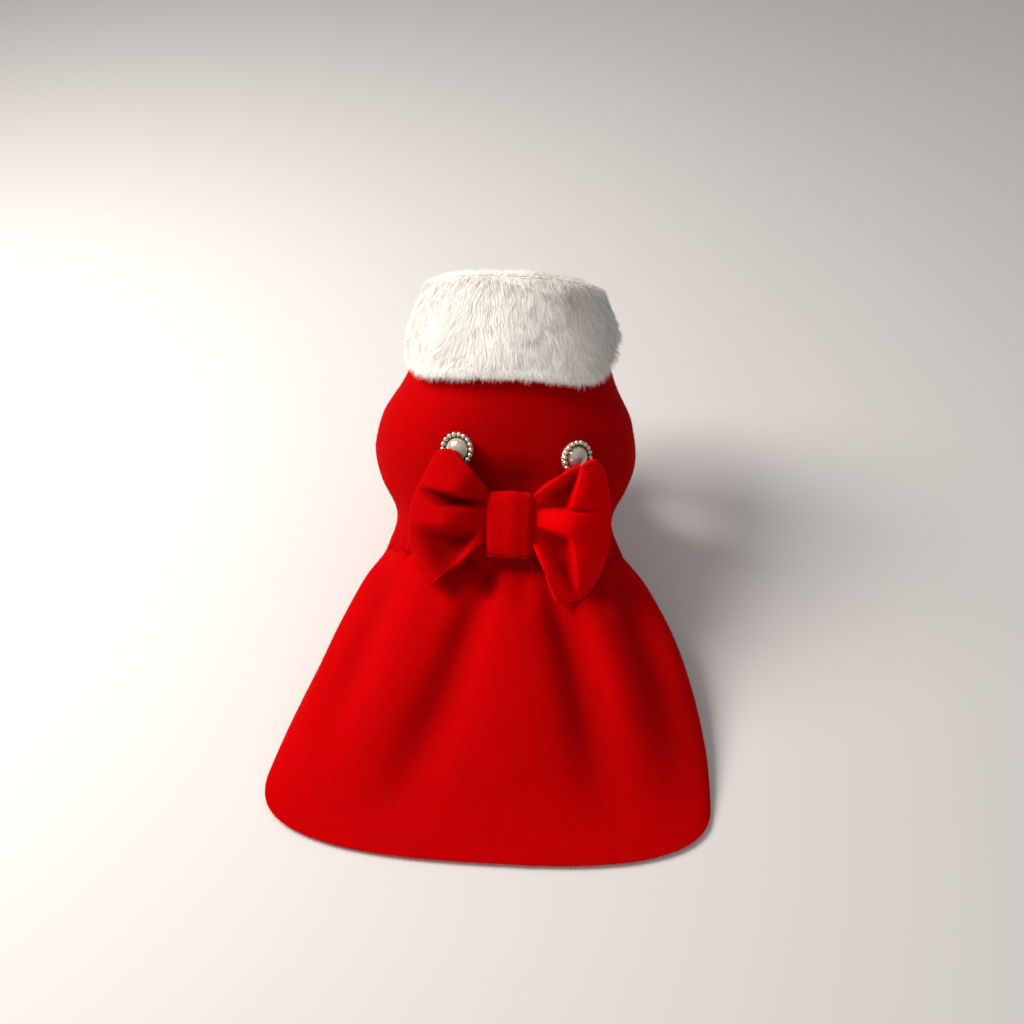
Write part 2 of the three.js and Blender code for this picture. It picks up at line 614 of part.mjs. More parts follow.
// The button's metal part: shank, plate with a cup for the pearl, and a ring of balls
function buttonRim(place) {
  const base = BUTTON.shankLength;
  const top = base + BUTTON.plateHeight;
  const profile = [
    [0, 0], [BUTTON.shankRadius, 0], [BUTTON.shankRadius, base], [BUTTON.plateRadius - 0.8, base],
    [BUTTON.plateRadius, base + 0.8], [BUTTON.plateRadius, top - 0.6], [BUTTON.plateRadius - 0.6, top],
    [BUTTON.cupRadius, top], [BUTTON.cupRadius, top - BUTTON.cupDepth], [0, top - BUTTON.cupDepth],
  ].map(([radius, height]) => new THREE.Vector2(radius, height));
  const plate = new THREE.LatheGeometry(profile, STEPS.plate).rotateX(Math.PI / 2);
  let rim = solidOf(plate);
  for (let ball = 0; ball < BUTTON.balls; ball += 1) {
    const turn = (2 * Math.PI * ball) / BUTTON.balls;
    const sphere = new THREE.SphereGeometry(BUTTON.ballRadius, STEPS.ball.round, STEPS.ball.up);
    const radius = BUTTON.rimRadius - BUTTON.ballRadius * 0.35;
    sphere.translate(radius * Math.cos(turn), radius * Math.sin(turn), top + BUTTON.ballRadius * 0.4);
    rim = rim.add(solidOf(sphere));
  }
  return geometryOf(rim).applyMatrix4(place);
}

// The pearl: a dome that stands in the plate's cup
function buttonPearl(place) {
  const seat = BUTTON.shankLength + BUTTON.plateHeight - BUTTON.cupDepth + SEAM_GAP;
  const profile = [new THREE.Vector2(0, seat)];
  for (let step = 0; step <= STEPS.pearl.up; step += 1) {
    const turn = (Math.PI / 2) * (step / STEPS.pearl.up);
    const radius = step === STEPS.pearl.up ? 0 : BUTTON.pearlRadius * Math.cos(turn);
    const height = seat + BUTTON.cupDepth + BUTTON.pearlHeight * Math.sin(turn);
    profile.push(new THREE.Vector2(radius, height));
  }
  profile.splice(1, 0, new THREE.Vector2(BUTTON.pearlRadius, seat));
  return new THREE.LatheGeometry(profile, STEPS.pearl.round).rotateX(Math.PI / 2).applyMatrix4(place);
}

// The middle of the neck opening, where the wearer holds the coat up
const neckSeam = GIRTHS.at(-1);
const neckMiddle = new THREE.Vector3(
  0, (neckSeam.backY + neckSeam.frontY) / 2, (neckSeam.backZ + neckSeam.frontZ) / 2);

const garment = new THREE.Group();
garment.position.copy(neckMiddle).negate();

function addPiece(name, geometry, material) {
  const mesh = new THREE.Mesh(geometry, material);
  mesh.name = name;
  garment.add(mesh);
}

addPiece('bodice_back', bodiceBack(), cloth());
addPiece('front_right', bodiceFront(1, () => 0), cloth());
addPiece('front_left', bodiceFront(-1, underFrontLift), cloth());
addPiece('collar', collar(), fur());
addPiece('skirt', skirt(), cloth());
addPiece('bow_loop_left', bowLoop('left'), cloth());
addPiece('bow_loop_right', bowLoop('right'), cloth());
addPiece('bow_knot', bowKnot(), cloth());
for (const spot of BUTTON_PLACES) {
  const place = buttonPlace(spot);
  addPiece(`button_${spot.side}_rim`, buttonRim(place), silver());
  addPiece(`button_${spot.side}_pearl`, buttonPearl(place), pearl());
}

export default garment;
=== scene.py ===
# %% [markdown]
# Dog coat and skirt
#
# This lesson dresses a small garment: a red wool coat with a flared back skirt, a bow at the
# waist, two beaded pearl buttons and a turned-down fur collar. The CAD model holds the sizes and
# the places. Here each piece gets its real cloth form, its nap or pile, and its finish.

# %% Load the frame
import math

import bmesh
import bpy
import numpy as np
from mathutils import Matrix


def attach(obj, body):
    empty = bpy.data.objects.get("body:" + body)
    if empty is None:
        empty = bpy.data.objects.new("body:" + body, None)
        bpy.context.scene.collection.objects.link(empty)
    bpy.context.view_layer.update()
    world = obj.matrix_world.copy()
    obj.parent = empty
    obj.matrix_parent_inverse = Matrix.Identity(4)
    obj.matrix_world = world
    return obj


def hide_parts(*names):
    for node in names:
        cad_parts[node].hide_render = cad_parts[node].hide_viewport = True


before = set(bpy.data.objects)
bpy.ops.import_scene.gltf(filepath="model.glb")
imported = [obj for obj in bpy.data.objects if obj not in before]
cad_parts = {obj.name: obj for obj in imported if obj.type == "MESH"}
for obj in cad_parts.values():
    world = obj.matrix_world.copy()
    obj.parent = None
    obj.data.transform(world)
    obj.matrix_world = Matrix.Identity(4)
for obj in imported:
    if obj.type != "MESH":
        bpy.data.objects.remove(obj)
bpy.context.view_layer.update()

# %% [markdown]
# Sizes are easiest to read in millimetres with the floor at height 0, which is how a maker would
# measure a coat on a stand. The frame has its origin in the middle of the neck opening, in
# metres. So every shape below is worked out in floor millimetres, and one function turns the
# finished points into the frame.

# %% From floor millimetres to the frame
NECK_MIDDLE = np.array([0.0, 155.5, 162.0])


def to_frame(points):
    """Points in the frame: the neck's middle is taken off, and millimetres become metres."""
    return (np.asarray(points, float) - NECK_MIDDLE) / 1000


# %% [markdown]
# Cloth forms are soft, so nearly every shape here is a sum of three simple curves: a smooth curve
# through the rows of a short table, a hump for a fold, and an eased step where a fold starts or
# ends. A table keeps the numbers of a form together where they can be read and changed.

# %% Curves for cloth
def table(names, rows):
    """A table with named columns, each one an array."""
    return dict(zip(names.split(), np.array(rows, float).T))


def column_at(rows, name, place):
    """Smooth curve through a column: a cubic between each two rows, whose slope at a row is half
    the difference between the rows either side. Place runs from 0, first row, to 1, last row."""
    values = rows[name]
    last = len(values) - 1
    scaled = np.asarray(place, float) * last
    index = np.clip(np.floor(scaled).astype(int), 0, last - 1)
    t = scaled - index
    start = values[index]
    end = values[index + 1]
    start_slope = (end - values[np.clip(index - 1, 0, last)]) / 2
    end_slope = (values[np.clip(index + 2, 0, last)] - start) / 2
    rise = 3 * (end - start) - 2 * start_slope - end_slope
    turn = 2 * (start - end) + start_slope + end_slope
    return start + t * (start_slope + t * (rise + t * turn))


def place_of(rows, name, value):
    """The place, from 0 to 1, at which a rising column has the value, straight between rows."""
    last = len(rows[name]) - 1
    return np.interp(value, rows[name], np.arange(last + 1)) / last


def hump(distance, width):
    """A soft hump of height 1 around zero: e to the power of minus half the square of
    distance / width."""
    return np.exp(-0.5 * (np.asarray(distance) / width) ** 2)


def ease(value, start, end):
    """0 before start, 1 after end, and 3t² - 2t³ between them."""
    t = np.clip((value - start) / (end - start), 0, 1)
    return t * t * (3 - 2 * t)


def signed_power(base, power):
    """The size of the base to a power, with the sign of the base."""
    return np.sign(base) * np.abs(base) ** power


def unit(vectors):
    """Vectors divided by their lengths."""
    return vectors / np.maximum(np.linalg.norm(vectors, axis=-1, keepdims=True), 1e-12)


# %% [markdown]
# A surface worked out on a grid needs only its points and four corners for each cell. The arrays
# go straight into the mesh, which is far quicker than adding one vertex at a time. Each cloth
# surface also gets a UV map measured in metres of cloth, so that the grain of the weave follows
# the cloth and keeps its size.

# %% From arrays to a mesh
def new_piece(name, points, faces):
    """An object at the origin from points in floor millimetres and equal faces, all smooth."""
    points = to_frame(points).reshape(-1, 3)
    faces = np.asarray(faces, np.int32)
    mesh = bpy.data.meshes.new(name)
    mesh.vertices.add(len(points))
    mesh.vertices.foreach_set("co", points.astype(np.float32).ravel())
    mesh.loops.add(faces.size)
    mesh.loops.foreach_set("vertex_index", faces.ravel())
    mesh.polygons.add(len(faces))
    mesh.polygons.foreach_set("loop_start", np.arange(len(faces), dtype=np.int32) * faces.shape[1])
    mesh.polygons.foreach_set("use_smooth", np.ones(len(faces), bool))
    mesh.update(calc_edges=True)
    mesh.validate()
    piece = bpy.data.objects.new(name, mesh)
    bpy.context.scene.collection.objects.link(piece)
    return piece


def grid_faces(rows, columns, flip=False, joined=False):
    """Four corners for each cell of a grid of rows x columns points. Flip turns the faces over,
    and joined adds the cells between the last row and the first."""
    last = rows if joined else rows - 1
    row, column = np.meshgrid(np.arange(last), np.arange(columns - 1), indexing="ij")
    after = (row + 1) % rows
    corners = [row * columns + column, row * columns + column + 1,
               after * columns + column + 1, after * columns + column]
    faces = np.stack(corners, -1).reshape(-1, 4)
    return faces[:, ::-1] if flip else faces


def give_uv(piece, across, along):
    """A UV map from two values in millimetres at each vertex, as metres of cloth."""
    places = np.stack([np.ravel(across), np.ravel(along)], -1) / 1000
    mesh = piece.data
    index = np.empty(len(mesh.loops), np.int32)
    mesh.loops.foreach_get("vertex_index", index)
    layer = mesh.uv_layers.new(name="cloth")
    layer.data.foreach_set("uv", places[index].astype(np.float32).ravel())


def give_values(piece, name, values):
    """One number at each vertex, which a material can read by its name."""
    attribute = piece.data.attributes.new(name, "FLOAT", "POINT")
    attribute.data.foreach_set("value", np.ravel(values).astype(np.float32))


def grid_normals(points):
    """Unit directions square to a grid: the slope along its columns x the slope along its rows."""
    rise, side = np.gradient(points, axis=(0, 1))
    return unit(np.cross(side, rise))


def cloth_size(points):
    """The longest row and the longest column of a grid, and its area. A cell's area is the length
    of the cross product of its two sides, which holds for slanted cells too."""
    side = np.diff(points, axis=1)
    rise = np.diff(points, axis=0)
    cells = np.linalg.norm(np.cross(side[:-1], rise[:, :-1]), axis=-1)
    width = np.linalg.norm(side, axis=-1).sum(1).max()
    length = np.linalg.norm(rise, axis=-1).sum(0).max()
    return width, length, cells.sum()


# %% [markdown]
# A material is a small graph of nodes. One function adds a node, sets its values and joins its
# inputs, so that the recipe for each finish below reads as a list. Colours are written as they
# would be picked on a screen, and turned to linear light here.

# %% Colours and nodes
def linear(colour):
    """Linear red, green, blue and 1 from an sRGB hex colour."""
    parts = np.array([int(colour[i:i + 2], 16) for i in (1, 3, 5)]) / 255
    light = np.where(parts <= 0.04045, parts / 12.92, ((parts + 0.055) / 1.055) ** 2.4)
    return (*(float(part) for part in light), 1.0)


def node(tree, kind, settings=None, **inputs):
    """Adds a node of a kind. An input is a value, or an output of another node to join."""
    made = tree.nodes.new("ShaderNode" + kind)
    for name, value in (settings or {}).items():
        setattr(made, name, value)
    for name, value in inputs.items():
        key = int(name[1:]) if name[0] == "i" and name[1:].isdigit() else name.replace("_", " ")
        socket = made.inputs[key]
        if isinstance(value, bpy.types.NodeSocket):
            tree.links.new(value, socket)
        else:
            socket.default_value = value
    return made


def new_material(name):
    """A material with an empty graph but for its output."""
    material = bpy.data.materials.new(name)
    material.use_nodes = True
    material.node_tree.nodes.clear()
    material.node_tree.nodes.new("ShaderNodeOutputMaterial")
    return material, material.node_tree


def set_surface(tree, shader):
    """Joins a shader to the material's output."""
    output = next(n for n in tree.nodes if n.type == "OUTPUT_MATERIAL")
    tree.links.new(shader.outputs[0], output.inputs["Surface"])


def blend_colours(tree, share, low, high):
    """Mixes two colours, or two colour outputs, by a share from 0 to 1."""
    mixed = node(tree, "Mix", {"data_type": "RGBA"}, i0=share, i6=low, i7=high)
    return mixed.outputs[2]


# %% [markdown]
# The coat's cloth is brushed wool coating: a woven or knitted wool base whose surface has been
# raised with wire rollers into a short, dense nap. The eye sees a deep, almost powdery red with
# hardly any highlight, a pale pink bloom where it looks along the surface, and only a hint of the
# threads below. So the shader is very rough, has little specular and some sheen, and the threads
# show as fine ribs 1.5 mm apart in the bump and the colour. Real ribs are about 1 mm apart, which
# is too fine for the picture. In the folds the colour carries painted shade: it sinks towards
# maroon by a value at each vertex that comes from the folds' depth.

# %% Brushed wool coating
RIB_SPACING = 0.0015     # metres between ribs
NAP_TUFT = 0.0011        # metres across a tuft of nap
PAINTED_FOLD_SHADE = "#4c0001"    # maroon painted shade for the deep folds
MOTTLE = 0.016           # metres across a paler or deeper patch


def brushed_wool(name, deep, bright, bloom, ribbed):
    """Soft red wool: tufts and patches of nap vary the colour, and ribs run with the cloth."""
    material, tree = new_material(name)
    place = node(tree, "TexCoord").outputs["Object"]
    tufts = node(tree, "TexNoise", Vector=place, Scale=1 / NAP_TUFT, Detail=3.0, Roughness=0.6)
    patches = node(tree, "TexNoise", Vector=place, Scale=1 / MOTTLE, Detail=2.0, Roughness=0.5)
    share = node(tree, "Math", {"operation": "MULTIPLY_ADD"},
                 i0=tufts.outputs["Fac"], i1=0.4, i2=0.05)
    share = node(tree, "Math", {"operation": "MULTIPLY_ADD"},
                 i0=patches.outputs["Fac"], i1=0.5, i2=share.outputs[0])
    height = tufts.outputs["Fac"]
    if ribbed:
        cloth = node(tree, "UVMap", {"uv_map": "cloth"}).outputs[0]
        ribs = node(tree, "TexWave", {"wave_type": "BANDS", "bands_direction": "X"},
                    Vector=cloth, Scale=1 / RIB_SPACING / 3.14159, Distortion=2.2, Detail=2.0,
                    Detail_Scale=1.6, Detail_Roughness=0.6)
        share = node(tree, "Math", {"operation": "MULTIPLY_ADD"},
                     i0=ribs.outputs["Fac"], i1=0.16, i2=share.outputs[0])
        height = node(tree, "Math", {"operation": "MULTIPLY_ADD"},
                      i0=ribs.outputs["Fac"], i1=0.55, i2=tufts.outputs["Fac"]).outputs[0]
    colour = blend_colours(tree, share.outputs[0], linear(deep), linear(bright))
    # Painted shade: the colour sinks towards maroon by a value at each vertex taken from the folds' depth.
    painted_fold_shade = node(tree, "Attribute", {"attribute_name": "painted_fold_shade"}).outputs["Fac"]
    colour = blend_colours(tree, painted_fold_shade, colour, linear(PAINTED_FOLD_SHADE))
    bump = node(tree, "Bump", Strength=0.2, Distance=0.0004, Height=height)
    shader = node(tree, "BsdfPrincipled", Base_Color=colour, Roughness=0.95, IOR=1.45,
                  Normal=bump.outputs[0])
    shader.inputs["Specular IOR Level"].default_value = 0.03
    shader.inputs["Sheen Weight"].default_value = 0.1
    shader.inputs["Sheen Roughness"].default_value = 0.4
    shader.inputs["Sheen Tint"].default_value = linear(bloom)
    set_surface(tree, shader)
    return material


wool = brushed_wool("brushed_wool_coating_red", "#a60002", "#ba0002", "#ff3048", True)
# Lighter copies of the same wool carry painted light: the skirt and the knot take the lighter one, the right
# loop the lightest.
wool_painted_lighter = brushed_wool("brushed_wool_coating_painted_lighter", "#b20002", "#c60003", "#ff3048", True)
wool_painted_lightest = brushed_wool("brushed_wool_coating_painted_lightest", "#cc0003", "#e00004", "#ff3048", True)
wool_nap = brushed_wool("raised_wool_nap_red", "#b20002", "#c60206", "#ff5068", False)
print("Ribs every", RIB_SPACING * 1000, "mm")

# %% [markdown]
# The picture is taken from behind and above, at about 45 degrees, with a short lens close to the
# garment. The camera's place was worked out from the photograph: where the hem, the waist and the
# collar fall in the frame gives its height and distance.

# %% Camera
camera_data = bpy.data.cameras.new("camera")
camera_data.sensor_width = 36
camera_data.lens = 38.6
camera = bpy.data.objects.new("camera", camera_data)
camera.location = (0.0341, -0.5501, 0.3710)
camera.rotation_euler = (math.radians(45), 0, math.radians(3.7))
bpy.context.scene.collection.objects.link(camera)
bpy.context.scene.camera = camera

# %% [markdown]
# A plain pale floor stands at the height of the hem. A large soft light at the left gives the
# bright side and the long soft shade on the right. Two small low ones behind the camera reach
# into the folds and show in the pearls, and the pale room does the rest. The view transform is
# the plain one, because a filmic one would wash out so pure a red.

# %% Floor and light
FLOOR_HEIGHT = -0.1612


def soft_light(name, place, aim, size, power, colour):
    """A square area light at a place, turned so that its face looks at the aim."""
    data = bpy.data.lights.new(name, "AREA")
    data.size = size
    data.energy = power
    data.color = linear(colour)[:3]
    light = bpy.data.objects.new(name, data)
    light.location = place
    away = np.array(place) - np.array(aim)
    flat = math.hypot(away[0], away[1])
    light.rotation_euler = (math.atan2(flat, away[2]), 0, math.atan2(away[0], -away[1]))
    bpy.context.scene.collection.objects.link(light)
    return light


def pale_floor():
    """A plain square floor, 6 m wide, of matt painted board."""
    mesh = bpy.data.meshes.new("floor")
    corners = [(-3, -3, FLOOR_HEIGHT), (3, -3, FLOOR_HEIGHT), (3, 3, FLOOR_HEIGHT), (-3, 3, FLOOR_HEIGHT)]
    mesh.from_pydata(corners, [], [(0, 1, 2, 3)])
    floor = bpy.data.objects.new("floor", mesh)
    bpy.context.scene.collection.objects.link(floor)
    material, tree = new_material("matt_painted_board")
    set_surface(tree, node(tree, "BsdfPrincipled", Base_Color=linear("#e3e1df"), Roughness=0.9))
    mesh.materials.append(material)


pale_floor()
soft_light("key_left", (-0.66, -0.02, 0.65), (0, -0.08, -0.05), 0.5, 12.2, "#fff8f2")
soft_light("window_left", (-0.45, -1.3, 0.12), (0, -0.08, -0.05), 0.16, 1.1, "#ffffff")
soft_light("window_right", (0.2, -1.35, 0.1), (0, -0.08, -0.05), 0.14, 0.7, "#ffffff")
world = bpy.data.worlds.new("pale_room")
bpy.context.scene.world = world
world.use_nodes = True
world.node_tree.nodes["Background"].inputs["Color"].default_value = linear("#f4f2f0")
world.node_tree.nodes["Background"].inputs["Strength"].default_value = 0.37
bpy.context.scene.view_settings.view_transform = "Standard"

# %% [markdown]
# The coat's body is a tube that goes from the waist seam up to the neck seam. A tailor draws it
# from girths, and so does this function: eight ovals, each between a point on the back and a
# point on the belly. A smooth curve through the table gives every girth between them. An oval
# whose power is above 2 is squarer than an ellipse, as a body is at the loin.

# %% The coat's form
GIRTHS = table("back_y back_z front_y front_z half_width shift power", [
    (25, 74, 98, 12, 70.5, 0.5, 2.3),       # waist seam
    (37.9, 89.3, 114, 26, 65, -1, 2.2),     # narrowest
    (50.7, 104.6, 135, 36, 74, -2, 2.2),    # ribs
    (63.6, 120, 155, 44, 80, -2.5, 2.2),    # chest
    (76, 136, 172, 57, 76, -2, 2.2),        # shoulders
    (89, 152, 184, 77, 64, -1, 2.1),        # collar's edge
    (106, 172, 190, 104, 54, 0, 2),         # nape
    (124, 191, 187, 133, 45, 0, 2),         # neck seam
])
SMALL_STEP = 0.001


def oval_point(top, middle, half_width, shift, power, angle):
    """A point of an oval: middle + (top - middle) * cos^(2/power), and beside it
    shift + half width * sin^(2/power). Angle 0 is its top."""
    point = middle + (top - middle) * signed_power(np.cos(angle), 2 / power)[..., None]
    point[..., 0] = shift + half_width * signed_power(np.sin(angle), 2 / power)
    return point


def coat_point(along, angle):
    """A point of the coat's outer face. Along is 0 at the waist seam and 1 at the neck seam, past
    which the face goes on straight; angle is 0 at the centre back and grows to the right."""
    along, angle = np.broadcast_arrays(np.asarray(along, float), np.asarray(angle, float))
    within = np.clip(along, 0, 1 - SMALL_STEP)

    def face(place):
        girth = {name: column_at(GIRTHS, name, place) for name in GIRTHS}
        zero = np.zeros_like(girth["back_y"])
        back = np.stack([zero, girth["back_y"], girth["back_z"]], -1)
        front = np.stack([zero, girth["front_y"], girth["front_z"]], -1)
        return oval_point(back, (back + front) / 2, girth["half_width"], girth["shift"],
                          girth["power"], angle)

    here = face(within)
    slope = (face(within + SMALL_STEP) - here) / SMALL_STEP
    return here + slope * (along - within)[..., None]


def coat_normal(along, angle):
    """The unit direction out of the coat's face: its slope round x its slope up."""
    along, angle = np.broadcast_arrays(np.asarray(along, float), np.asarray(angle, float))
    at = np.minimum(along, 1 - 3 * SMALL_STEP)
    here = coat_point(at, angle)
    around = coat_point(at, angle + SMALL_STEP) - here
    up = coat_point(at + SMALL_STEP, angle) - here
    return unit(np.cross(around, up))


def off_coat(along, angle, lift):
    """A point that stands off the coat's face by the lift, in millimetres."""
    return coat_point(along, angle) + coat_normal(along, angle) * np.asarray(lift)[..., None]


def angle_at(along, x):
    """The angle at which the coat's back is x millimetres from its centre line."""
    share = (x - column_at(GIRTHS, "shift", along)) / column_at(GIRTHS, "half_width", along)
    return np.arcsin(signed_power(share, column_at(GIRTHS, "power", along) / 2))


# %% [markdown]
# Soft creases come from where the cloth is pulled or gathered. Each is a straight line on the
# cloth with a rounded trough or ridge along it, highest in its middle and fading at its ends.
# They are placed one by one: short ones at the right of the waist and a shallow hollow down the
# middle of the back above the bow, as in the photograph, and similar ones where nothing shows.

# %% Creases on a panel
def crease_height(across, along, creases):
    """Sum of the creases in millimetres: rise * e^(-d²/2w²) * fade, with d the distance from the
    crease's line and fade an eased step at each end."""
    height = np.zeros(np.broadcast(across, along).shape)
    for i in range(len(creases["rise"])):
        row = {name: creases[name][i] for name in creases}
        span = np.array([row["to_across"] - row["from_across"], row["to_along"] - row["from_along"]])
        length = np.linalg.norm(span)
        step = span / length
        beside = across - row["from_across"]
        above = along - row["from_along"]
        run = (beside * step[0] + above * step[1]) / length
        off = beside * -step[1] + above * step[0]
        fade = ease(run, -0.15, 0.3) * (1 - ease(run, 0.55, 1.15))
        height = height + row["rise"] * fade * hump(off, row["width"])
    return height


# Across is millimetres round the coat from the centre back, along is millimetres up from the waist
BACK_CREASES = table("from_across from_along to_across to_along rise width", [
    (58, -4, 66, 16, -1.6, 2.6),       # gathers at the right of the waist
    (66, -2, 78, 14, 1.3, 3.0),
    (76, -4, 90, 10, -1.3, 2.6),
    (88, 0, 104, 12, 0.9, 3.0),
    (-66, -2, -80, 13, -1.1, 2.8),     # their like on the left
    (-80, 0, -96, 11, 0.9, 3.2),
    (10, 30, 14, 92, -2.2, 15),        # hollow down the back
    (8, 30, 9, 62, -4.2, 11),          # deepest between the loops
    (-30, 24, -52, 60, -0.9, 10),
    (48, 30, 70, 74, -0.8, 11),
    (-72, 34, -100, 52, 0.8, 7),
    (84, 36, 108, 60, 0.8, 7),
    (-84, 58, -104, 84, -0.9, 6),      # drag towards the armholes
    (90, 60, 108, 86, -0.9, 6),
])
FRONT_CREASES = table("from_across from_along to_across to_along rise width", [
    (126, 52, 160, 66, -0.9, 6),
    (140, 70, 176, 76, 0.8, 7),
    (130, 96, 168, 88, -0.8, 6),
    (-128, 54, -162, 62, -0.9, 6),
    (-142, 74, -178, 78, 0.8, 7),
    (-132, 100, -166, 90, -0.8, 6),
])
MM_ROUND = 67.0      # millimetres round the coat for each radian, on average
MM_UP = 150.0        # millimetres from waist seam to neck seam


# %% [markdown]
# A wool coat like this has a back cut in one piece, and two fronts that lap on the belly where
# they fasten. The legs go through two oval holes that lie across the side seams. The panels are
# single surfaces first. Where a hole is cut, the cells inside it are left out and the nearest
# points slide over the cloth to its oval, so its outer edge is smooth. Solidify then gives the
# cloth its 2.6 mm, and a small bevel turns its edges round, as a turned edge is. The holes' inner
# edges still come out uneven in places, by up to a few millimetres.

# %% Cutting and finishing a panel
CLOTH = 2.6
SEAM_GAP = 0.3
SIDE_SEAM = math.radians(112)
LAP = math.radians(7)
ARMHOLE = {"angle": math.radians(118), "along": 0.63, "half_width": 23.0, "half_height": 29.0}
ARMHOLE_DEPTH = 34     # millimetres off the oval's plane; points farther off lie on the other side
LONGEST_SLIDE = 0.8    # of an edge point's own distance from the armhole's middle
HALVINGS = 24


def armhole_reach(points, side):
    """How far points lie from an armhole's middle, 1 being its oval, and how far off its plane."""
    angle = side * ARMHOLE["angle"]
    middle = coat_point(ARMHOLE["along"], angle)
    outward = coat_normal(ARMHOLE["along"], angle)
    forward = unit(coat_point(ARMHOLE["along"] + SMALL_STEP, angle) - middle)
    around = unit(np.cross(outward, forward))
    away = points - middle
    reach = np.hypot(away @ around / ARMHOLE["half_width"], away @ forward / ARMHOLE["half_height"])
    return reach, away @ outward


def cut_armholes(grid, faces, angle, along, height):
    """Leaves out the cells inside the armholes. The points left on their edges slide over the
    cloth, straight away from the armhole's middle, until they lie on its oval: the length of the
    way is found by halving. Points on a side seam only slide along it."""
    flat = grid.reshape(-1, 3).copy()
    angle, along, height = (np.ravel(values) for values in (angle, along, height))
    keep = np.ones(len(faces), bool)
    for side in (-1, 1):
        reach, off = armhole_reach(flat, side)
        near = (np.abs(off) < ARMHOLE_DEPTH) & (reach < 1)
        keep &= ~near[faces].all(1)
        edge = np.zeros(len(flat), bool)
        edge[faces[keep]] = True
        edge &= near
        if not edge.any():
            continue
        on_seam = np.isclose(np.abs(angle[edge]), np.abs(angle[[0, -1]]).min())
        turn_way = (angle[edge] - side * ARMHOLE["angle"]) * ~on_seam
        along_way = along[edge] - ARMHOLE["along"]
        low = np.zeros(edge.sum())
        high = low + LONGEST_SLIDE
        for _ in range(HALVINGS):
            middle = (low + high) / 2
            place = off_coat(along[edge] + along_way * middle, angle[edge] + turn_way * middle, height[edge])
            inside = armhole_reach(place, side)[0] < 1
            low = np.where(inside, middle, low)
            high = np.where(inside, high, middle)
        flat[edge] = place
    return flat, faces[keep]


def finish_cloth(piece, nodes, thickness=CLOTH, edge=1.1, material=None):
    """Gives a surface its thickness towards the inside, turns its edges round, and says which CAD
    nodes it stands for."""
    solid = piece.modifiers.new("thickness", "SOLIDIFY")
    solid.thickness = thickness / 1000
    solid.offset = -1
    round_edge = piece.modifiers.new("turned_edge", "BEVEL")
    round_edge.width = edge / 1000
    round_edge.segments = 3
    round_edge.limit_method = "ANGLE"
    round_edge.angle_limit = math.radians(55)
    piece.data.materials.append(material or wool)
    place_piece(piece, nodes)


def place_piece(piece, nodes):
    """The piece moves with the part's one body, and takes the place of its CAD nodes."""
    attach(piece, "root")
    if nodes:
        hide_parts(*nodes)


cloth_faces = {}


def seam_gathers(angle, distance):
    """Small puckers along the waist seam, the same on both sides of it: three waves of unlike
    lengths round the coat, which fade out over 14 mm of cloth."""
    waves = (0.55 * np.sin(23 * angle + 1.6 * np.sin(5 * angle)) + 0.4 * np.sin(37 * angle + 2.1)
             + 0.3 * np.sin(61 * angle + 3 * np.sin(4 * angle + 1)))
    return waves * (1 - ease(np.abs(distance), 0, 14))


def bodice_panel(name, angles, alongs, lower_edge, lift, creases):
    """One panel: angle and along on a grid, along starting at the panel's own lower edge."""
    angle, share = np.meshgrid(angles, alongs)
    low = lower_edge(np.abs(angle))
    along = low + (1 - low) * share
    across_mm = angle * MM_ROUND
    along_mm = along * MM_UP
    height = lift(np.abs(angle)) + crease_height(across_mm, along_mm, creases)
    height = height + seam_gathers(angle, along_mm) * (np.abs(angle) < SIDE_SEAM + 0.01)
    grid = off_coat(along, angle, height)
    flip = angles[-1] < angles[0]
    faces = grid_faces(*angle.shape, flip=flip)
    points, faces = cut_armholes(grid, faces, angle, along, height)
    piece = new_piece(name, points, faces)
    give_uv(piece, across_mm, along_mm)
    # Painted shade in the creases: the deeper a crease, the darker the cloth.
    painted_fold_shade = 0.6 * np.clip(-height / 7, 0, 1).ravel()
    give_values(piece, "painted_fold_shade", painted_fold_shade)
    cloth_faces[name] = (points, faces, painted_fold_shade)
    print(name, "width, length, area before the armholes:", *np.round(cloth_size(grid), 1))
    return piece


# %% The back and the two fronts
def belly_edge(angle):
    """The fronts are shorter than the back: their edge rises to 0.3 of the coat at the belly."""
    return 0.3 * ease(angle, SIDE_SEAM, math.radians(165))


def under_lap(angle):
    """The left front sinks by one thickness of cloth where the right one laps over it."""
    return -(CLOTH + SEAM_GAP) * ease(angle, math.radians(156), math.radians(171))


def level(angle):
    """No edge or lift of its own."""
    return np.zeros_like(angle)


seam = SIDE_SEAM + SEAM_GAP / 30
back = bodice_panel("coat_back", np.linspace(-SIDE_SEAM, SIDE_SEAM, 181), np.linspace(0, 1, 101),
                    level, level, BACK_CREASES)
right = bodice_panel("coat_front_right", np.linspace(seam, math.pi + LAP, 61), np.linspace(0, 1, 77),
                     belly_edge, level, FRONT_CREASES)
left = bodice_panel("coat_front_left", np.linspace(-seam, -math.pi - LAP, 61), np.linspace(0, 1, 77),
                    belly_edge, under_lap, FRONT_CREASES)
finish_cloth(back, ["bodice_back"], edge=0.25)
finish_cloth(right, ["front_right"])
finish_cloth(left, ["front_left"])

# %% [markdown]
# Inside a sewn coat, each seam has its allowances: two edges of cloth pressed open behind the
# stitches. They close the line where two panels meet. One narrow strip behind each seam, just
# inside the cloth, does what they do.

# %% Seam allowances
def allowance_strip(name, along, angle):
    """A strip of cloth behind a seam: the coat's face, with its gathers, carried inwards."""
    grid = off_coat(along, angle, seam_gathers(angle, along * MM_UP) - 1.3)
    faces = grid_faces(*grid.shape[:2])
    strip = new_piece(name, grid, faces)
    give_uv(strip, angle * MM_ROUND + 0 * along, along * MM_UP + 0 * angle)
    finish_cloth(strip, [], thickness=1.4, edge=0.3)
    print(name, "width, length, area:", *np.round(cloth_size(grid), 1))
    return strip


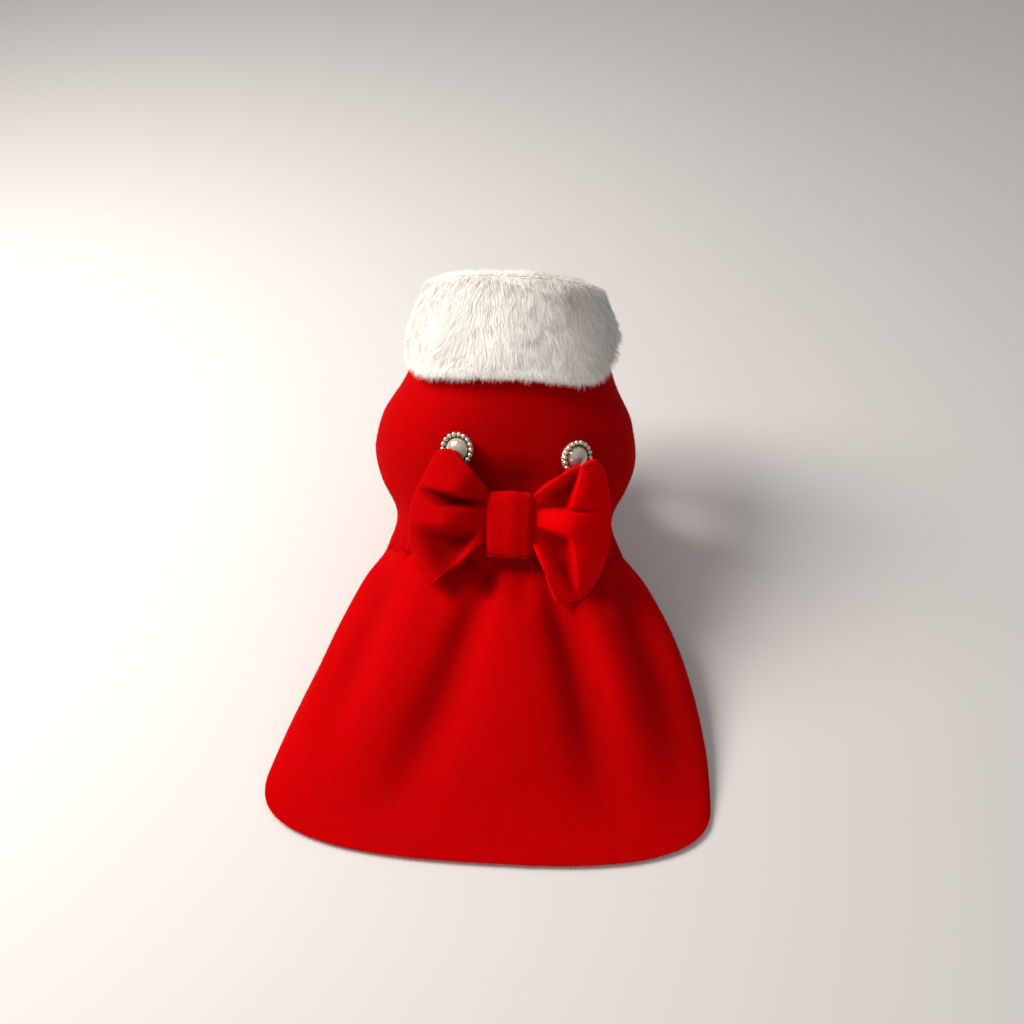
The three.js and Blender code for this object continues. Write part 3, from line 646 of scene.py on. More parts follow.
for side, word in ((-1, "left"), (1, "right")):
    seam_rows = np.linspace(0.01, ARMHOLE["along"] - 0.2, 40)[:, None]
    seam_span = side * (SIDE_SEAM + np.linspace(-0.085, 0.085, 9)[None, ::side])
    allowance_strip("side_seam_allowance_" + word, seam_rows + 0 * seam_span, seam_span + 0 * seam_rows)

waist_span = np.linspace(-SIDE_SEAM, SIDE_SEAM, 161)[None, :]
waist_rows = np.linspace(-0.032, 0.038, 11)[:, None]
allowance_strip("waist_seam_allowance", waist_rows + 0 * waist_span, waist_span + 0 * waist_rows)

# %% [markdown]
# The skirt is a flared panel of the same cloth, gathered into the waist seam so that it lies over
# the rump and flares to the ground. It could be draped by simulation, but the photograph shows
# exactly where its few soft folds fall, so they are placed one by one: a bright panel down the
# middle, a valley either side of it, and a shaded side on the right. An arch swept from the waist
# to the hem gives the large form, and each fold widens on its way down.

# %% The skirt's form
ARCHES = table("down ridge_y ridge_z side_y side_z half_width shift power wrap", [
    (0, 24.7, 73.6, 61.2, 42.7, 70.5, 0.5, 2.3, 108),
    (0.08, 11, 71, 53, 41, 75.5, 2, 2.25, 106),
    (0.2, -8, 63.5, 38, 36, 85, 3.5, 2.3, 103),
    (0.4, -39, 48, 8, 27, 98.5, 5, 2.4, 99),
    (0.6, -69, 31, -24, 17, 109.5, 4.5, 2.5, 95),
    (0.8, -98, 14, -56, 8.5, 117.5, 2.5, 2.65, 92),
    (1, -123, 3.6, -80, 3.6, 121, 0, 2.7, 90),
])
# Across is -1 at the left edge and 1 at the right one, at the top and at the hem
SKIRT_FOLDS = table("across_top across_hem from to rise width_top width_hem", [
    (-0.06, -0.43, 0, 0.97, -7.4, 0.042, 0.09),     # left valley
    (0.2, 0.5, 0, 0.94, -8.2, 0.042, 0.09),         # right valley
    (0.03, 0.05, 0.02, 0.98, 3, 0.08, 0.2),         # bright middle panel
    (0.36, 0.6, 0.02, 0.8, 3.4, 0.06, 0.1),         # right ridge
    (0.57, 0.82, 0, 0.95, -5.4, 0.05, 0.11),
    (0.74, 0.97, 0, 0.6, 1.6, 0.055, 0.06),
    (-0.36, -0.6, 0.02, 0.85, 2.8, 0.06, 0.1),      # left ridge
    (-0.56, -0.76, 0, 0.8, -3.2, 0.04, 0.08),
    (-0.78, -0.9, 0, 0.7, 2.2, 0.05, 0.06),
    (-0.06, -0.07, 0, 0.18, -4.2, 0.028, 0.03),     # notch under the knot
    (0.1, 0.14, 0, 0.22, -1.8, 0.036, 0.04),        # short gathers at the seam
    (0.45, 0.5, 0, 0.26, -2.2, 0.036, 0.04),
    (0.84, 0.9, 0, 0.25, -1.6, 0.036, 0.04),
    (-0.27, -0.32, 0, 0.2, -1.8, 0.036, 0.04),
    (-0.68, -0.74, 0, 0.24, -1.6, 0.036, 0.04),
])
SKIRT_ROWS = 101
SKIRT_COLUMNS = 221
ROW_CROWDING = 1.15      # above 1, rows lie closer together near the waist
SKIRT_WRAP = math.radians(108)
# The grain's map, in millimetres. Its half width opens more than the cloth's own 120 to 141, so
# that the ribs lie closer together towards the hem
GRAIN_DOWN = 220
GRAIN_WAIST = 105
GRAIN_HEM = 190


def skirt_arches(downs, columns):
    """One arch for each value of down, with its points evenly spaced along the cloth: the oval is
    sampled finely, and places at equal lengths along it are read off."""
    place = place_of(ARCHES, "down", downs)[:, None]
    arch = {name: column_at(ARCHES, name, place) for name in ARCHES}
    angle = np.radians(arch["wrap"]) * np.linspace(-1, 1, 1201)
    zero = np.zeros_like(arch["ridge_y"])
    ridge = np.stack([zero, arch["ridge_y"], arch["ridge_z"]], -1)
    middle = np.stack([zero, arch["side_y"], arch["side_z"]], -1)
    fine = oval_point(ridge, middle, arch["half_width"], arch["shift"], arch["power"], angle)
    steps = np.linalg.norm(np.diff(fine, axis=1), axis=-1)
    length = np.concatenate([np.zeros((len(downs), 1)), np.cumsum(steps, 1)], 1)
    even = [[np.interp(np.linspace(0, run[-1], columns), run, line[:, axis]) for axis in range(3)]
            for run, line in zip(length, fine)]
    return np.array(even).transpose(0, 2, 1)


def fold_height(across, down, folds):
    """Sum of the folds in millimetres: rise * start * end * hump across, with the middle and the
    width of each fold moving evenly from the waist to the hem."""
    height = np.zeros(np.broadcast(across, down).shape)
    for i in range(len(folds["rise"])):
        row = {name: folds[name][i] for name in folds}
        middle = row["across_top"] + (row["across_hem"] - row["across_top"]) * down
        width = row["width_top"] + (row["width_hem"] - row["width_top"]) * down
        length = row["to"] - row["from"]
        starts = ease(down, row["from"] - 0.02, row["from"] + 0.3 * length)
        ends = 1 - ease(down, row["to"] - 0.5 * length, row["to"])
        height = height + row["rise"] * starts * ends * hump(across - middle, width)
    return height


downs = np.linspace(0, 1, SKIRT_ROWS) ** ROW_CROWDING
skirt_base = skirt_arches(downs, SKIRT_COLUMNS)
skirt_out = -grid_normals(skirt_base)
skirt_across = np.linspace(-1, 1, SKIRT_COLUMNS)[None, :]
skirt_height = fold_height(skirt_across, downs[:, None], SKIRT_FOLDS)
skirt_height = skirt_height + seam_gathers(skirt_across * SKIRT_WRAP, GRAIN_DOWN * downs[:, None])
skirt_points = skirt_base + skirt_out * skirt_height[..., None]
skirt_points[0] += np.array([0.0, 0.2, 0.26])      # the seam is pulled nearly shut
skirt_faces = grid_faces(SKIRT_ROWS, SKIRT_COLUMNS, flip=True)
skirt = new_piece("skirt_panel", skirt_points, skirt_faces)
give_uv(skirt, skirt_across * np.linspace(GRAIN_WAIST, GRAIN_HEM, SKIRT_ROWS)[:, None],
        -GRAIN_DOWN * downs[:, None] + skirt_across * 0)
# The skirt takes the lighter copy of the wool, as painted light.
finish_cloth(skirt, ["skirt"], edge=0.3, material=wool_painted_lighter)
# Painted shade in the valleys: the deeper a valley, the darker the cloth.
skirt_painted_fold_shade = 0.4 * np.clip(-skirt_height / 9, 0, 1).ravel()
give_values(skirt, "painted_fold_shade", skirt_painted_fold_shade)
cloth_faces["skirt_panel"] = (skirt_points.reshape(-1, 3), skirt_faces, skirt_painted_fold_shade)
print("Skirt width, length, area:", *np.round(cloth_size(skirt_points), 1))

# %% [markdown]
# The bow is a separate, made-up bow: each loop is a strip that goes out from the knot, turns
# round its outer fold and comes back, and the knot is a short band round both roots. The loops
# pinch in at the knot, and the pinch throws creases out across them. They sit in a place of their
# own, square to the coat's back at the waist.

# %% The bow's place
BOW = {"x": 5.0, "along": 0.141, "knot_width": 26.0, "knot_height": 38.0, "pinch_height": 26.0}
BOW_DROOP = {"corner": -4.5, "middle": 4.0, "tip": -12.0}
LOOP_FULLNESS = 12.0
LOOP_BACK = 3.0
LOOP_MIDDLE = 2 * CLOTH + 2.5 * SEAM_GAP
KNOT_TOP = 2 * LOOP_MIDDLE - SEAM_GAP

bow_angle = angle_at(BOW["along"], BOW["x"])
bow_outward = coat_normal(BOW["along"], bow_angle)
bow_up = unit(np.array([0, bow_outward[2], -bow_outward[1]]))
bow_across = unit(np.cross(bow_up, bow_outward))
bow_seat = coat_point(BOW["along"], bow_angle) + bow_up


def on_bow(points):
    """Points given across, up and out of the bow's own plane, moved to its place on the coat."""
    return bow_seat + points[..., :1] * bow_across + points[..., 1:2] * bow_up + points[..., 2:] * bow_outward


# %% [markdown]
# The photograph shows each loop from the front, so its creases are measured there. On the left, a
# dark wedge opens from the knot under the upper flap, and a hollow lies over the lower ridge. On
# the right, a thin line runs straight out, a pleat makes a pocket above it, and a second pocket
# curves down to the tip.

# %% The bow's loops
LOOP_FOLDS = {
    "left": table("out_x out_y", [
        (-34, 41), (-42, 39.5), (-49, 27), (-55.5, 11), (-57.3, -4), (-55.3, -15.5), (-50.5, -25.5),
        (-41, -33)]),
    "right": table("out_x out_y", [
        (47, 38.5), (51.5, 33), (55.5, 17), (56.8, 0), (55.8, -15), (51, -28.5), (42, -39.5), (29, -41.5)]),
}
# Top and lower end of each root, and how far the top and the lower edge bulge: below 1 is fuller
LOOP_ROOTS = {
    "left": {"top": 15.5, "low": -9.0, "top_bulge": 0.8, "low_bulge": 1.2},
    "right": {"top": 13.5, "low": -7.0, "top_bulge": 0.6, "low_bulge": 1.0},
}
# In millimetres on the bow's own plane, from the knot's middle: across to the right, up
LOOP_CREASES = {
    "left": table("from_across from_along to_across to_along rise width", [
        (-8, 10, -36, 9.6, -3.2, 1.2),          # fold line from the knot
        (-12, 15, -46, 27, 2.6, 5),             # upper flap
        (-12, 1, -52, -3, 2.4, 5.5),            # middle lobe
        (-12, -8, -36, -28, 3.0, 3.2)]),        # lower ridge
    "right": table("from_across from_along to_across to_along rise width", [
        (8, 9.6, 60, 10.4, -2.8, 0.9),          # thin line straight out
        (15, 16, 34, 31, 2.2, 3.6),             # flap over the pocket
        (38, 12, 44, 32, 2.0, 4.0),
        (14, 2, 54, 0, 2.6, 4.6),               # middle lobe
        (13, -9, 27, -36, 2.4, 3.2),            # band along the lower edge
        (42, -10, 44, -34, 2.0, 5.0)]),
}
# A pocket is a triangle a, b, c, on the same plane, pressed in by a depth; each of its sides is
# softened over so many millimetres
LOOP_POCKETS = {
    "left": table("ax ay bx by cx cy depth soft_ab soft_bc soft_ca", [
        (-9, 11.8, -52, 18.5, -36, 9.0, 9.5, 2.6, 4.5, 1.2),         # wedge under the upper flap
        (-53, -4, -19, -5.5, -35, -31, 8.0, 6.0, 2.6, 7.5)]),        # hollow over the lower ridge
    "right": table("ax ay bx by cx cy depth soft_ab soft_bc soft_ca", [
        (12, 10.6, 31.5, 10.6, 37, 33, 9.0, 1.2, 1.7, 4.6),         # pocket behind the pleat
        (12, -1.6, 32.5, -6, 38, -36, 8.5, 3.0, 3.0, 4.2)]),         # pocket above the lower band
}


def pocket_depth(across, along, pockets):
    """Depth of the pockets in millimetres: depth * the product, over a triangle's three sides, of
    an eased step from outside to inside, with the distance from each side as its value."""
    depth = np.zeros(np.broadcast(across, along).shape)
    for i in range(len(pockets["depth"])):
        row = {name: pockets[name][i] for name in pockets}
        turned_way = np.sign((row["bx"] - row["ax"]) * (row["cy"] - row["ay"])
                             - (row["by"] - row["ay"]) * (row["cx"] - row["ax"]))
        inside = 1.0
        for start, end in ("ab", "bc", "ca"):
            step = np.array([row[end + "x"] - row[start + "x"], row[end + "y"] - row[start + "y"]])
            step = step / np.linalg.norm(step) * turned_way
            distance = step[0] * (along - row[start + "y"]) - step[1] * (across - row[start + "x"])
            soft = row["soft_" + start + end]
            inside = inside * ease(distance, -soft, soft)
        depth = depth + row["depth"] * inside
    return depth


def loop_grid(side, across, turn):
    """A loop's outer face. Turn runs from 0 at the front's root, by the outer fold, to 1 at the
    back's root: out = sin(pi turn)^0.85 gives how far out the strip is, its height above the
    loop's middle eases from the pinch to its full height, and goes to 0 at the fold."""
    direction = -1 if side == "left" else 1
    out = np.sin(np.pi * turn) ** 0.85
    fold_x = column_at(LOOP_FOLDS[side], "out_x", across)
    pinched = (BOW["knot_width"] / 2 - 2) / np.abs(fold_x)
    spread = np.maximum(0, (out - pinched) / (1 - pinched))
    from_middle = (2 * across - 1) ** 2
    x = direction * SEAM_GAP / 2 * (1 - out) + fold_x * out
    root = LOOP_ROOTS[side]
    root_y = root["top"] + (root["low"] - root["top"]) * across
    bulge = root["top_bulge"] + (root["low_bulge"] - root["top_bulge"]) * across
    y = root_y + (column_at(LOOP_FOLDS[side], "out_y", across) - root_y) * spread ** bulge
    at_end = np.where(across < 0.5, BOW_DROOP["corner"], BOW_DROOP["tip"])
    droop = (BOW_DROOP["middle"] + (at_end - BOW_DROOP["middle"]) * from_middle) * spread ** 1.5
    pinch = CLOTH + SEAM_GAP / 2
    rounding = np.sqrt(np.maximum(0, 1 - out ** 2.4))
    front = turn <= 0.5
    full = np.where(front, LOOP_FULLNESS, LOOP_BACK) * (1 - 0.35 * from_middle) + CLOTH / 2
    lift = pinch + (full - pinch) * ease(out, pinched, 0.66)
    free = np.minimum(1, 3 * rounding) * ease(out, pinched, pinched + 0.1)
    relief = crease_height(x, y, LOOP_CREASES[side]) - pocket_depth(x, y, LOOP_POCKETS[side])
    lift = lift + np.where(front, relief * free, 0)
    lift = np.maximum(lift, pinch) * (1 + (rounding - 1) * ease(out, 0.3, 1))
    height = LOOP_MIDDLE - droop + np.where(front, 1, -1) * lift
    # Painted shade in the pockets and creases: the deeper they go, the darker the cloth.
    painted_fold_shade = 0.7 * np.clip(-relief / 9, 0, 1) * np.where(front, free, 0)
    return np.stack([x, y, height], -1), painted_fold_shade


LOOP_FRONT_ROWS = 110    # the front shows, so it gets most of the rows
LOOP_BACK_ROWS = 30
LOOP_COLUMNS = 121

for side in ("left", "right"):
    turns = np.concatenate([np.linspace(0, 0.5, LOOP_FRONT_ROWS),
                            np.linspace(0.5, 1, LOOP_BACK_ROWS + 1)[1:]])
    across, turn = np.meshgrid(np.linspace(0, 1, LOOP_COLUMNS), turns)
    grid, painted_fold_shade = loop_grid(side, across, turn)
    points = on_bow(grid)
    faces = grid_faces(len(turns), LOOP_COLUMNS, flip=side == "left")
    loop = new_piece("bow_loop_" + side + "_cloth", points, faces)
    give_uv(loop, across * 85, turn * 110)
    loop_wool = {"left": wool, "right": wool_painted_lightest}[side]     # the right loop takes the lightest copy of the wool: painted light
    finish_cloth(loop, ["bow_loop_" + side], edge=1.2, material=loop_wool)
    give_values(loop, "painted_fold_shade", painted_fold_shade)
    cloth_faces[loop.name] = (points.reshape(-1, 3), faces, painted_fold_shade.ravel())
    print(loop.name, "width, length, area:", *np.round(cloth_size(points), 1))

# %% [markdown]
# The knot is a band of the same cloth, folded into a soft tube and wrapped round both roots. Its
# upper corners are nearly square where the cloth turns over the loops, its face bulges, and the
# folded edge of the band shows as a small step near each side.

# %% The bow's knot
def knot_grid(turn, place):
    """The band's outer face: an oblong tube whose corners are rounded by small powers of cosine
    and sine, with a bulge of 2.2 mm on its face, soft sides, a shallow step where the band was folded
    and a small one where its end is tucked in below."""
    half = BOW["knot_width"] / 2
    x = half * place
    bulge = np.where(np.sin(turn) > 0, 2.2 * (1 - place ** 2) * np.sin(turn), 0)
    drift = 0.08 * np.sin(2.2 * np.cos(turn) + 0.6)
    step = -0.3 * hump(place + 0.66 + drift, 0.1) - 1.5 * ease(np.abs(place), 0.72, 1.0) ** 1.5
    wave = (0.35 * np.sin(3 * place + 2 * np.cos(turn)) + 0.2 * np.sin(7 * place + 1)) * (np.sin(turn) > 0)
    ragged = np.cos(turn) + 0.72 + 0.05 * np.sin(4 * place + 1) + 0.03 * np.sin(11 * place)
    fold = -1.1 * hump(ragged, 0.045) * (np.sin(turn) > 0)
    up = signed_power(np.cos(turn), 0.36) * (BOW["knot_height"] / 2 - 0.6 + bulge + step + wave)
    out = signed_power(np.sin(turn), 0.42) * ((KNOT_TOP - SEAM_GAP) / 2 + bulge + step + wave + fold)
    return np.stack([np.broadcast_to(x, up.shape), up, (KNOT_TOP + SEAM_GAP) / 2 + out], -1)


KNOT_ROWS = 140
KNOT_COLUMNS = 41

turn, place = np.meshgrid(np.linspace(0, 2 * np.pi, KNOT_ROWS, endpoint=False),
                          np.linspace(-1, 1, KNOT_COLUMNS), indexing="ij")
knot_points = on_bow(knot_grid(turn, place))
knot_faces = grid_faces(KNOT_ROWS, KNOT_COLUMNS, flip=True, joined=True)
knot = new_piece("bow_knot_cloth", knot_points, knot_faces)
give_uv(knot, place * 15, turn * 17)
# The knot takes the lighter copy of the wool, as painted light.
finish_cloth(knot, ["bow_knot"], edge=1.2, material=wool_painted_lighter)
cloth_faces["bow_knot_cloth"] = (knot_points.reshape(-1, 3), knot_faces,
                                 np.zeros(knot_points[..., 0].size))
# Both loops are cut alike, and narrower where the knot holds them: thick wool would bunch there.
print("Knot width, length, area:", *np.round(cloth_size(knot_points), 1))

# %% [markdown]
# The buttons are cast metal with a pearl: a rope-ribbed plate, a ring of small balls round its
# edge, and a lacquered pearl dome in a cup. The metal is antiqued silver: it was darkened all
# over and polished again, so its hollows stay brown and its high places shine. Metal keeps the
# default IOR. The hollows are marked by a value at each vertex, worked out from the profile.

# %% Silver and pearl
def antiqued_silver():
    """Polished high places and brown hollows, by the value called polish."""
    material, tree = new_material("antiqued_silver_casting")
    polish = node(tree, "Attribute", {"attribute_name": "polish"}).outputs["Fac"]
    place = node(tree, "TexCoord").outputs["Object"]
    tarnish = node(tree, "TexNoise", Vector=place, Scale=900.0, Detail=2.0)
    share = node(tree, "Math", {"operation": "MULTIPLY_ADD", "use_clamp": True},
                 i0=tarnish.outputs["Fac"], i1=0.3, i2=polish)
    share = node(tree, "Math", {"operation": "SUBTRACT", "use_clamp": True}, i0=share.outputs[0], i1=0.15)
    colour = blend_colours(tree, share.outputs[0], linear("#9c7d54"), linear("#ece3d4"))
    rough = node(tree, "Math", {"operation": "MULTIPLY_ADD"}, i0=share.outputs[0], i1=-0.25, i2=0.5)
    bare = node(tree, "Math", {"operation": "MULTIPLY_ADD"}, i0=share.outputs[0], i1=0.65, i2=0.35)
    shader = node(tree, "BsdfPrincipled", Base_Color=colour, Metallic=bare.outputs[0],
                  Roughness=rough.outputs[0])
    set_surface(tree, shader)
    return material


def pearl_lacquer():
    """Pearl lacquer on plastic: a warm white body under a clear, glossy coat, with faint clouds."""
    material, tree = new_material("pearl_lacquer_on_plastic")
    place = node(tree, "TexCoord").outputs["Object"]
    clouds = node(tree, "TexNoise", Vector=place, Scale=260.0, Detail=2.0)
    colour = blend_colours(tree, clouds.outputs["Fac"], linear("#b9aa9b"), linear("#e6dccf"))
    shader = node(tree, "BsdfPrincipled", Base_Color=colour, Roughness=0.2, IOR=1.5, Metallic=0.45)
    shader.inputs["Coat Weight"].default_value = 0.8
    shader.inputs["Coat Roughness"].default_value = 0.06
    set_surface(tree, shader)
    return material


silver = antiqued_silver()
pearl = pearl_lacquer()

# %% [markdown]
# A turned profile gives the plate and the dome. The plate's side wall swells into ribs like a
# twisted rope, and each ball is a small sphere of its own, joined to the plate's mesh.

# %% The buttons
BUTTON = {"rim": 8.6, "plate": 8.4, "height": 3.2, "cup": 6.5, "depth": 1.4, "pearl": 6.2,
          "dome": 4.0, "ball": 1.4, "balls": 18, "shank": 2.2, "shank_length": 1.2}
# X in millimetres, along, lean outwards in degrees, and how much longer that makes the shank
BUTTON_PLACES = {"left": (-24.6, 0.44, -9.0, 0.3), "right": (37.4, 0.43, 17.0, 1.5)}
BUTTON_SCALE = 1.06


def turned(profile, steps, ribs=0, depth=0.0, slant=0.0):
    """A profile of radius, height and rib share turned round the axis: each point's radius grows
    by depth * share * |sin(ribs/2 (angle + slant * height))|. Its poles are closed by fans."""
    angle = np.linspace(0, 2 * np.pi, steps, endpoint=False)[:, None]
    radius, height, share = np.array(profile, float).T
    rib = np.abs(np.sin(ribs / 2 * (angle + slant * height))) if ribs else 0 * angle
    reach = radius + depth * share * rib
    points = np.stack([reach * np.cos(angle), reach * np.sin(angle), height + 0 * angle], -1)
    return points, grid_faces(steps, len(radius), joined=True)


def ball_ring(count, ring_radius, height, radius, around=14, up=9):
    """Small spheres at equal steps on a ring, as one array of points and one of faces."""
    spin, rise = np.meshgrid(np.linspace(0, 2 * np.pi, around, endpoint=False),
                             np.linspace(-np.pi / 2, np.pi / 2, up), indexing="ij")
    ball = radius * np.stack([np.cos(rise) * np.cos(spin), np.cos(rise) * np.sin(spin), np.sin(rise)], -1)
    turn = 2 * np.pi * np.arange(count) / count
    middles = np.stack([ring_radius * np.cos(turn), ring_radius * np.sin(turn), 0 * turn + height], -1)
    points = middles[:, None] + ball.reshape(1, -1, 3)
    faces = grid_faces(around, up, joined=True)
    faces = faces[None] + (np.arange(count) * around * up)[:, None, None]
    return points.reshape(-1, 3), faces.reshape(-1, 4)


def on_button(points, side):
    """Points given round a button's own axis, moved to its seat on the coat's back."""
    x, along, lean, longer = BUTTON_PLACES[side]
    angle = angle_at(along, x)
    straight = coat_normal(along, angle)
    level_way = unit(np.cross(np.array([0.0, 1.0, 0.0]), straight))
    outward = straight * math.cos(math.radians(lean)) + level_way * math.sin(math.radians(lean))
    across = unit(np.cross(np.array([0.0, 1.0, 0.0]), outward))
    up = np.cross(outward, across)
    relief = crease_height(angle * MM_ROUND, along * MM_UP, BACK_CREASES)
    seat = off_coat(along, angle, 2 * SEAM_GAP + relief)
    points = points * BUTTON_SCALE + np.array([0, 0, longer])
    return seat + points[..., :1] * across + points[..., 1:2] * up + points[..., 2:] * outward


def weld(piece):
    """Joins points that lie on one another, as at the poles of a turned form, and drops the empty
    faces there."""
    work = bmesh.new()
    work.from_mesh(piece.data)
    bmesh.ops.remove_doubles(work, verts=work.verts, dist=1e-6)
    bmesh.ops.dissolve_degenerate(work, edges=work.edges, dist=1e-7)
    bmesh.ops.recalc_face_normals(work, faces=work.faces)
    work.to_mesh(piece.data)
    work.free()


base = BUTTON["shank_length"]
top = base + BUTTON["height"]
floor_of_cup = top - BUTTON["depth"]
# Radius, height, share of the rib that the point takes
PLATE = [
    (0, 0, 0), (1.6, 0, 0), (2.1, 0.15, 0), (BUTTON["shank"], 0.4, 0), (BUTTON["shank"], base, 0),
    (6.5, base, 0), (7.2, base + 0.05, 0), (7.5, base + 0.3, 0.6), (7.7, base + 0.8, 1),
    (7.75, base + 1.4, 1), (7.7, base + 2.0, 1), (7.6, base + 2.6, 0.8), (7.5, top - 0.25, 0.3),
    (7.2, top - 0.05, 0), (6.9, top, 0), (6.7, top - 0.1, 0), (6.6, top - 0.4, 0),
    (6.55, top - 0.9, 0), (6.5, floor_of_cup + 0.1, 0), (6.2, floor_of_cup, 0), (0, floor_of_cup, 0),
]
PEARL_SEAT = floor_of_cup + SEAM_GAP

for side in BUTTON_PLACES:
    plate_points, plate_faces = turned(PLATE, 216, ribs=36, depth=0.8, slant=0.22)
    ball_points, ball_faces = ball_ring(BUTTON["balls"], BUTTON["rim"] - 0.49, top + 0.56, BUTTON["ball"])
    flat = plate_points.reshape(-1, 3)
    flat[:, 2] -= BUTTON_PLACES[side][3] / BUTTON_SCALE * (flat[:, 2] < base - 0.1)
    points = np.concatenate([flat, ball_points])
    rim = new_piece("button_" + side + "_silver", on_button(points, side),
                    np.concatenate([plate_faces, ball_faces + len(flat)]))
    radius = np.hypot(points[:, 0], points[:, 1])
    ball_polish = ease(ball_points[:, 2], top - 0.3, top + 1.2)
    plate_polish = 0.8 * ease(radius[:len(flat)], 7.9, 8.5) * (flat[:, 2] > base)
    give_values(rim, "polish", np.concatenate([plate_polish, ball_polish]))
    weld(rim)
    rim.data.materials.append(silver)
    place_piece(rim, ["button_" + side + "_rim"])

    rise = np.linspace(0, np.pi / 2, 22)
    dome = [(0, PEARL_SEAT, 0), (5.9, PEARL_SEAT, 0), (6.15, PEARL_SEAT + 0.3, 0)]
    dome += [(BUTTON["pearl"] * math.cos(t), top - 0.4 + SEAM_GAP + (BUTTON["dome"] + 0.4) * math.sin(t), 0)
             for t in rise[:-1]]
    dome += [(0, top + SEAM_GAP + BUTTON["dome"], 0)]
    dome_points, dome_faces = turned(dome, 96)
    stone = new_piece("button_" + side + "_dome", on_button(dome_points.reshape(-1, 3), side), dome_faces)
    weld(stone)
    stone.data.materials.append(pearl)
    place_piece(stone, ["button_" + side + "_pearl"])

# %% [markdown]
# The collar is short, dense plush fur on a turned-down band. Rendered hair particles would not
# survive as a mesh, so the pile is real geometry: a padded band for the hide, and over a hundred
# thousand thin tapering blades rooted on it. Neighbouring blades lean to a shared tip, which
# gives the soft locks, and the whole pile is brushed from a parting near the roll, upwards into
# the neck and downwards over the shoulders. At the outer edge it stands straight out, so that no
# blade runs into the cloth.

# %% The collar's band
COLLAR = {"edge": 0.69, "drop": 0.02, "top": 1.07, "flare": 4.0, "end": math.radians(166),
          "round_from": math.radians(146)}
FUR_EDGE = 11.0
FUR_ROLL = 15.0
PILE_INSET = 4.6       # how far the hide lies inside the pile's tips
HIDE_SHARE = 0.5       # of the collar's thickness that is hide


def collar_section(angle, turn, inset, share):
    """A rounded slab on the coat: slide = cos(turn)^0.62 goes from the roll to the outer edge and
    height = sin(turn)^0.75 from the coat's face to the outside. Inset draws the edges in, and share
    keeps that much of the thickness."""
    past = np.maximum(0, np.abs(angle) - COLLAR["round_from"])
    rounding = np.sqrt(np.maximum(0, 1 - (past / (COLLAR["end"] - COLLAR["round_from"])) ** 2))
    aside = np.sin(angle) ** 2
    lowest = hump(np.abs(angle) - math.radians(50), math.radians(25))
    rise = 0.026 + 0.14 * ease(np.abs(angle), math.radians(38), math.radians(84))
    edge = COLLAR["edge"] - COLLAR["drop"] * lowest + rise + inset / MM_UP
    crest = COLLAR["top"] - inset * 0.6 / MM_UP
    slide = signed_power(np.cos(turn), 0.62)
    height = 0.5 + 0.5 * signed_power(np.sin(turn), 0.75)
    thick = (FUR_EDGE + (FUR_ROLL - FUR_EDGE) * (0.5 + 0.5 * slide)) * rounding * share
    stand = 1.6 * SEAM_GAP + 0.8 + COLLAR["flare"] * aside * (0.5 - 0.5 * slide) ** 2
    along = (crest + edge) / 2 + (crest - edge) / 2 * slide * (0.25 + 0.75 * rounding)
    return off_coat(along, angle, stand + height * thick)


COLLAR_ROWS = 56
COLLAR_COLUMNS = 181

collar_angles = np.linspace(-COLLAR["end"], COLLAR["end"], COLLAR_COLUMNS)
collar_turns = np.linspace(0, 2 * np.pi, COLLAR_ROWS, endpoint=False)
turn, angle = np.meshgrid(collar_turns, collar_angles, indexing="ij")
hide_points = collar_section(angle, turn, PILE_INSET, HIDE_SHARE)
hide_faces = grid_faces(COLLAR_ROWS, COLLAR_COLUMNS, joined=True, flip=True)
hide = new_piece("collar_hide", hide_points, hide_faces)
weld(hide)
print("Collar hide:", len(hide.data.polygons), "faces")

# %% [markdown]
# A blade of fur or nap is the same thing at two sizes: a strip that starts at a root on the
# surface, bends as it goes, and tapers to a tip. Each takes the shading direction of the surface
# under it, so thousands of them still shade as one soft body.

# %% Blades on a surface
def scatter(points, faces, count, seed):
    """Places spread evenly over a surface of four-cornered cells: a cell is drawn by its share of
    the area, and the place in it is the bilinear mean of its corners. Returns the places, the unit
    directions out of the surface there, the cells' numbers and the source of random numbers."""
    random = np.random.default_rng(seed)
    corner = points[faces]
    diagonals = np.cross(corner[:, 2] - corner[:, 0], corner[:, 3] - corner[:, 1])
    area = np.linalg.norm(diagonals, axis=1) / 2
    cell = random.choice(len(faces), count, p=area / area.sum())
    u, v = random.random((2, count, 1))
    a, b, c, d = (corner[cell, i] for i in range(4))
    place = (a * (1 - u) + b * u) * (1 - v) + (d * (1 - u) + c * u) * v
    return place, unit(diagonals)[cell], cell, random


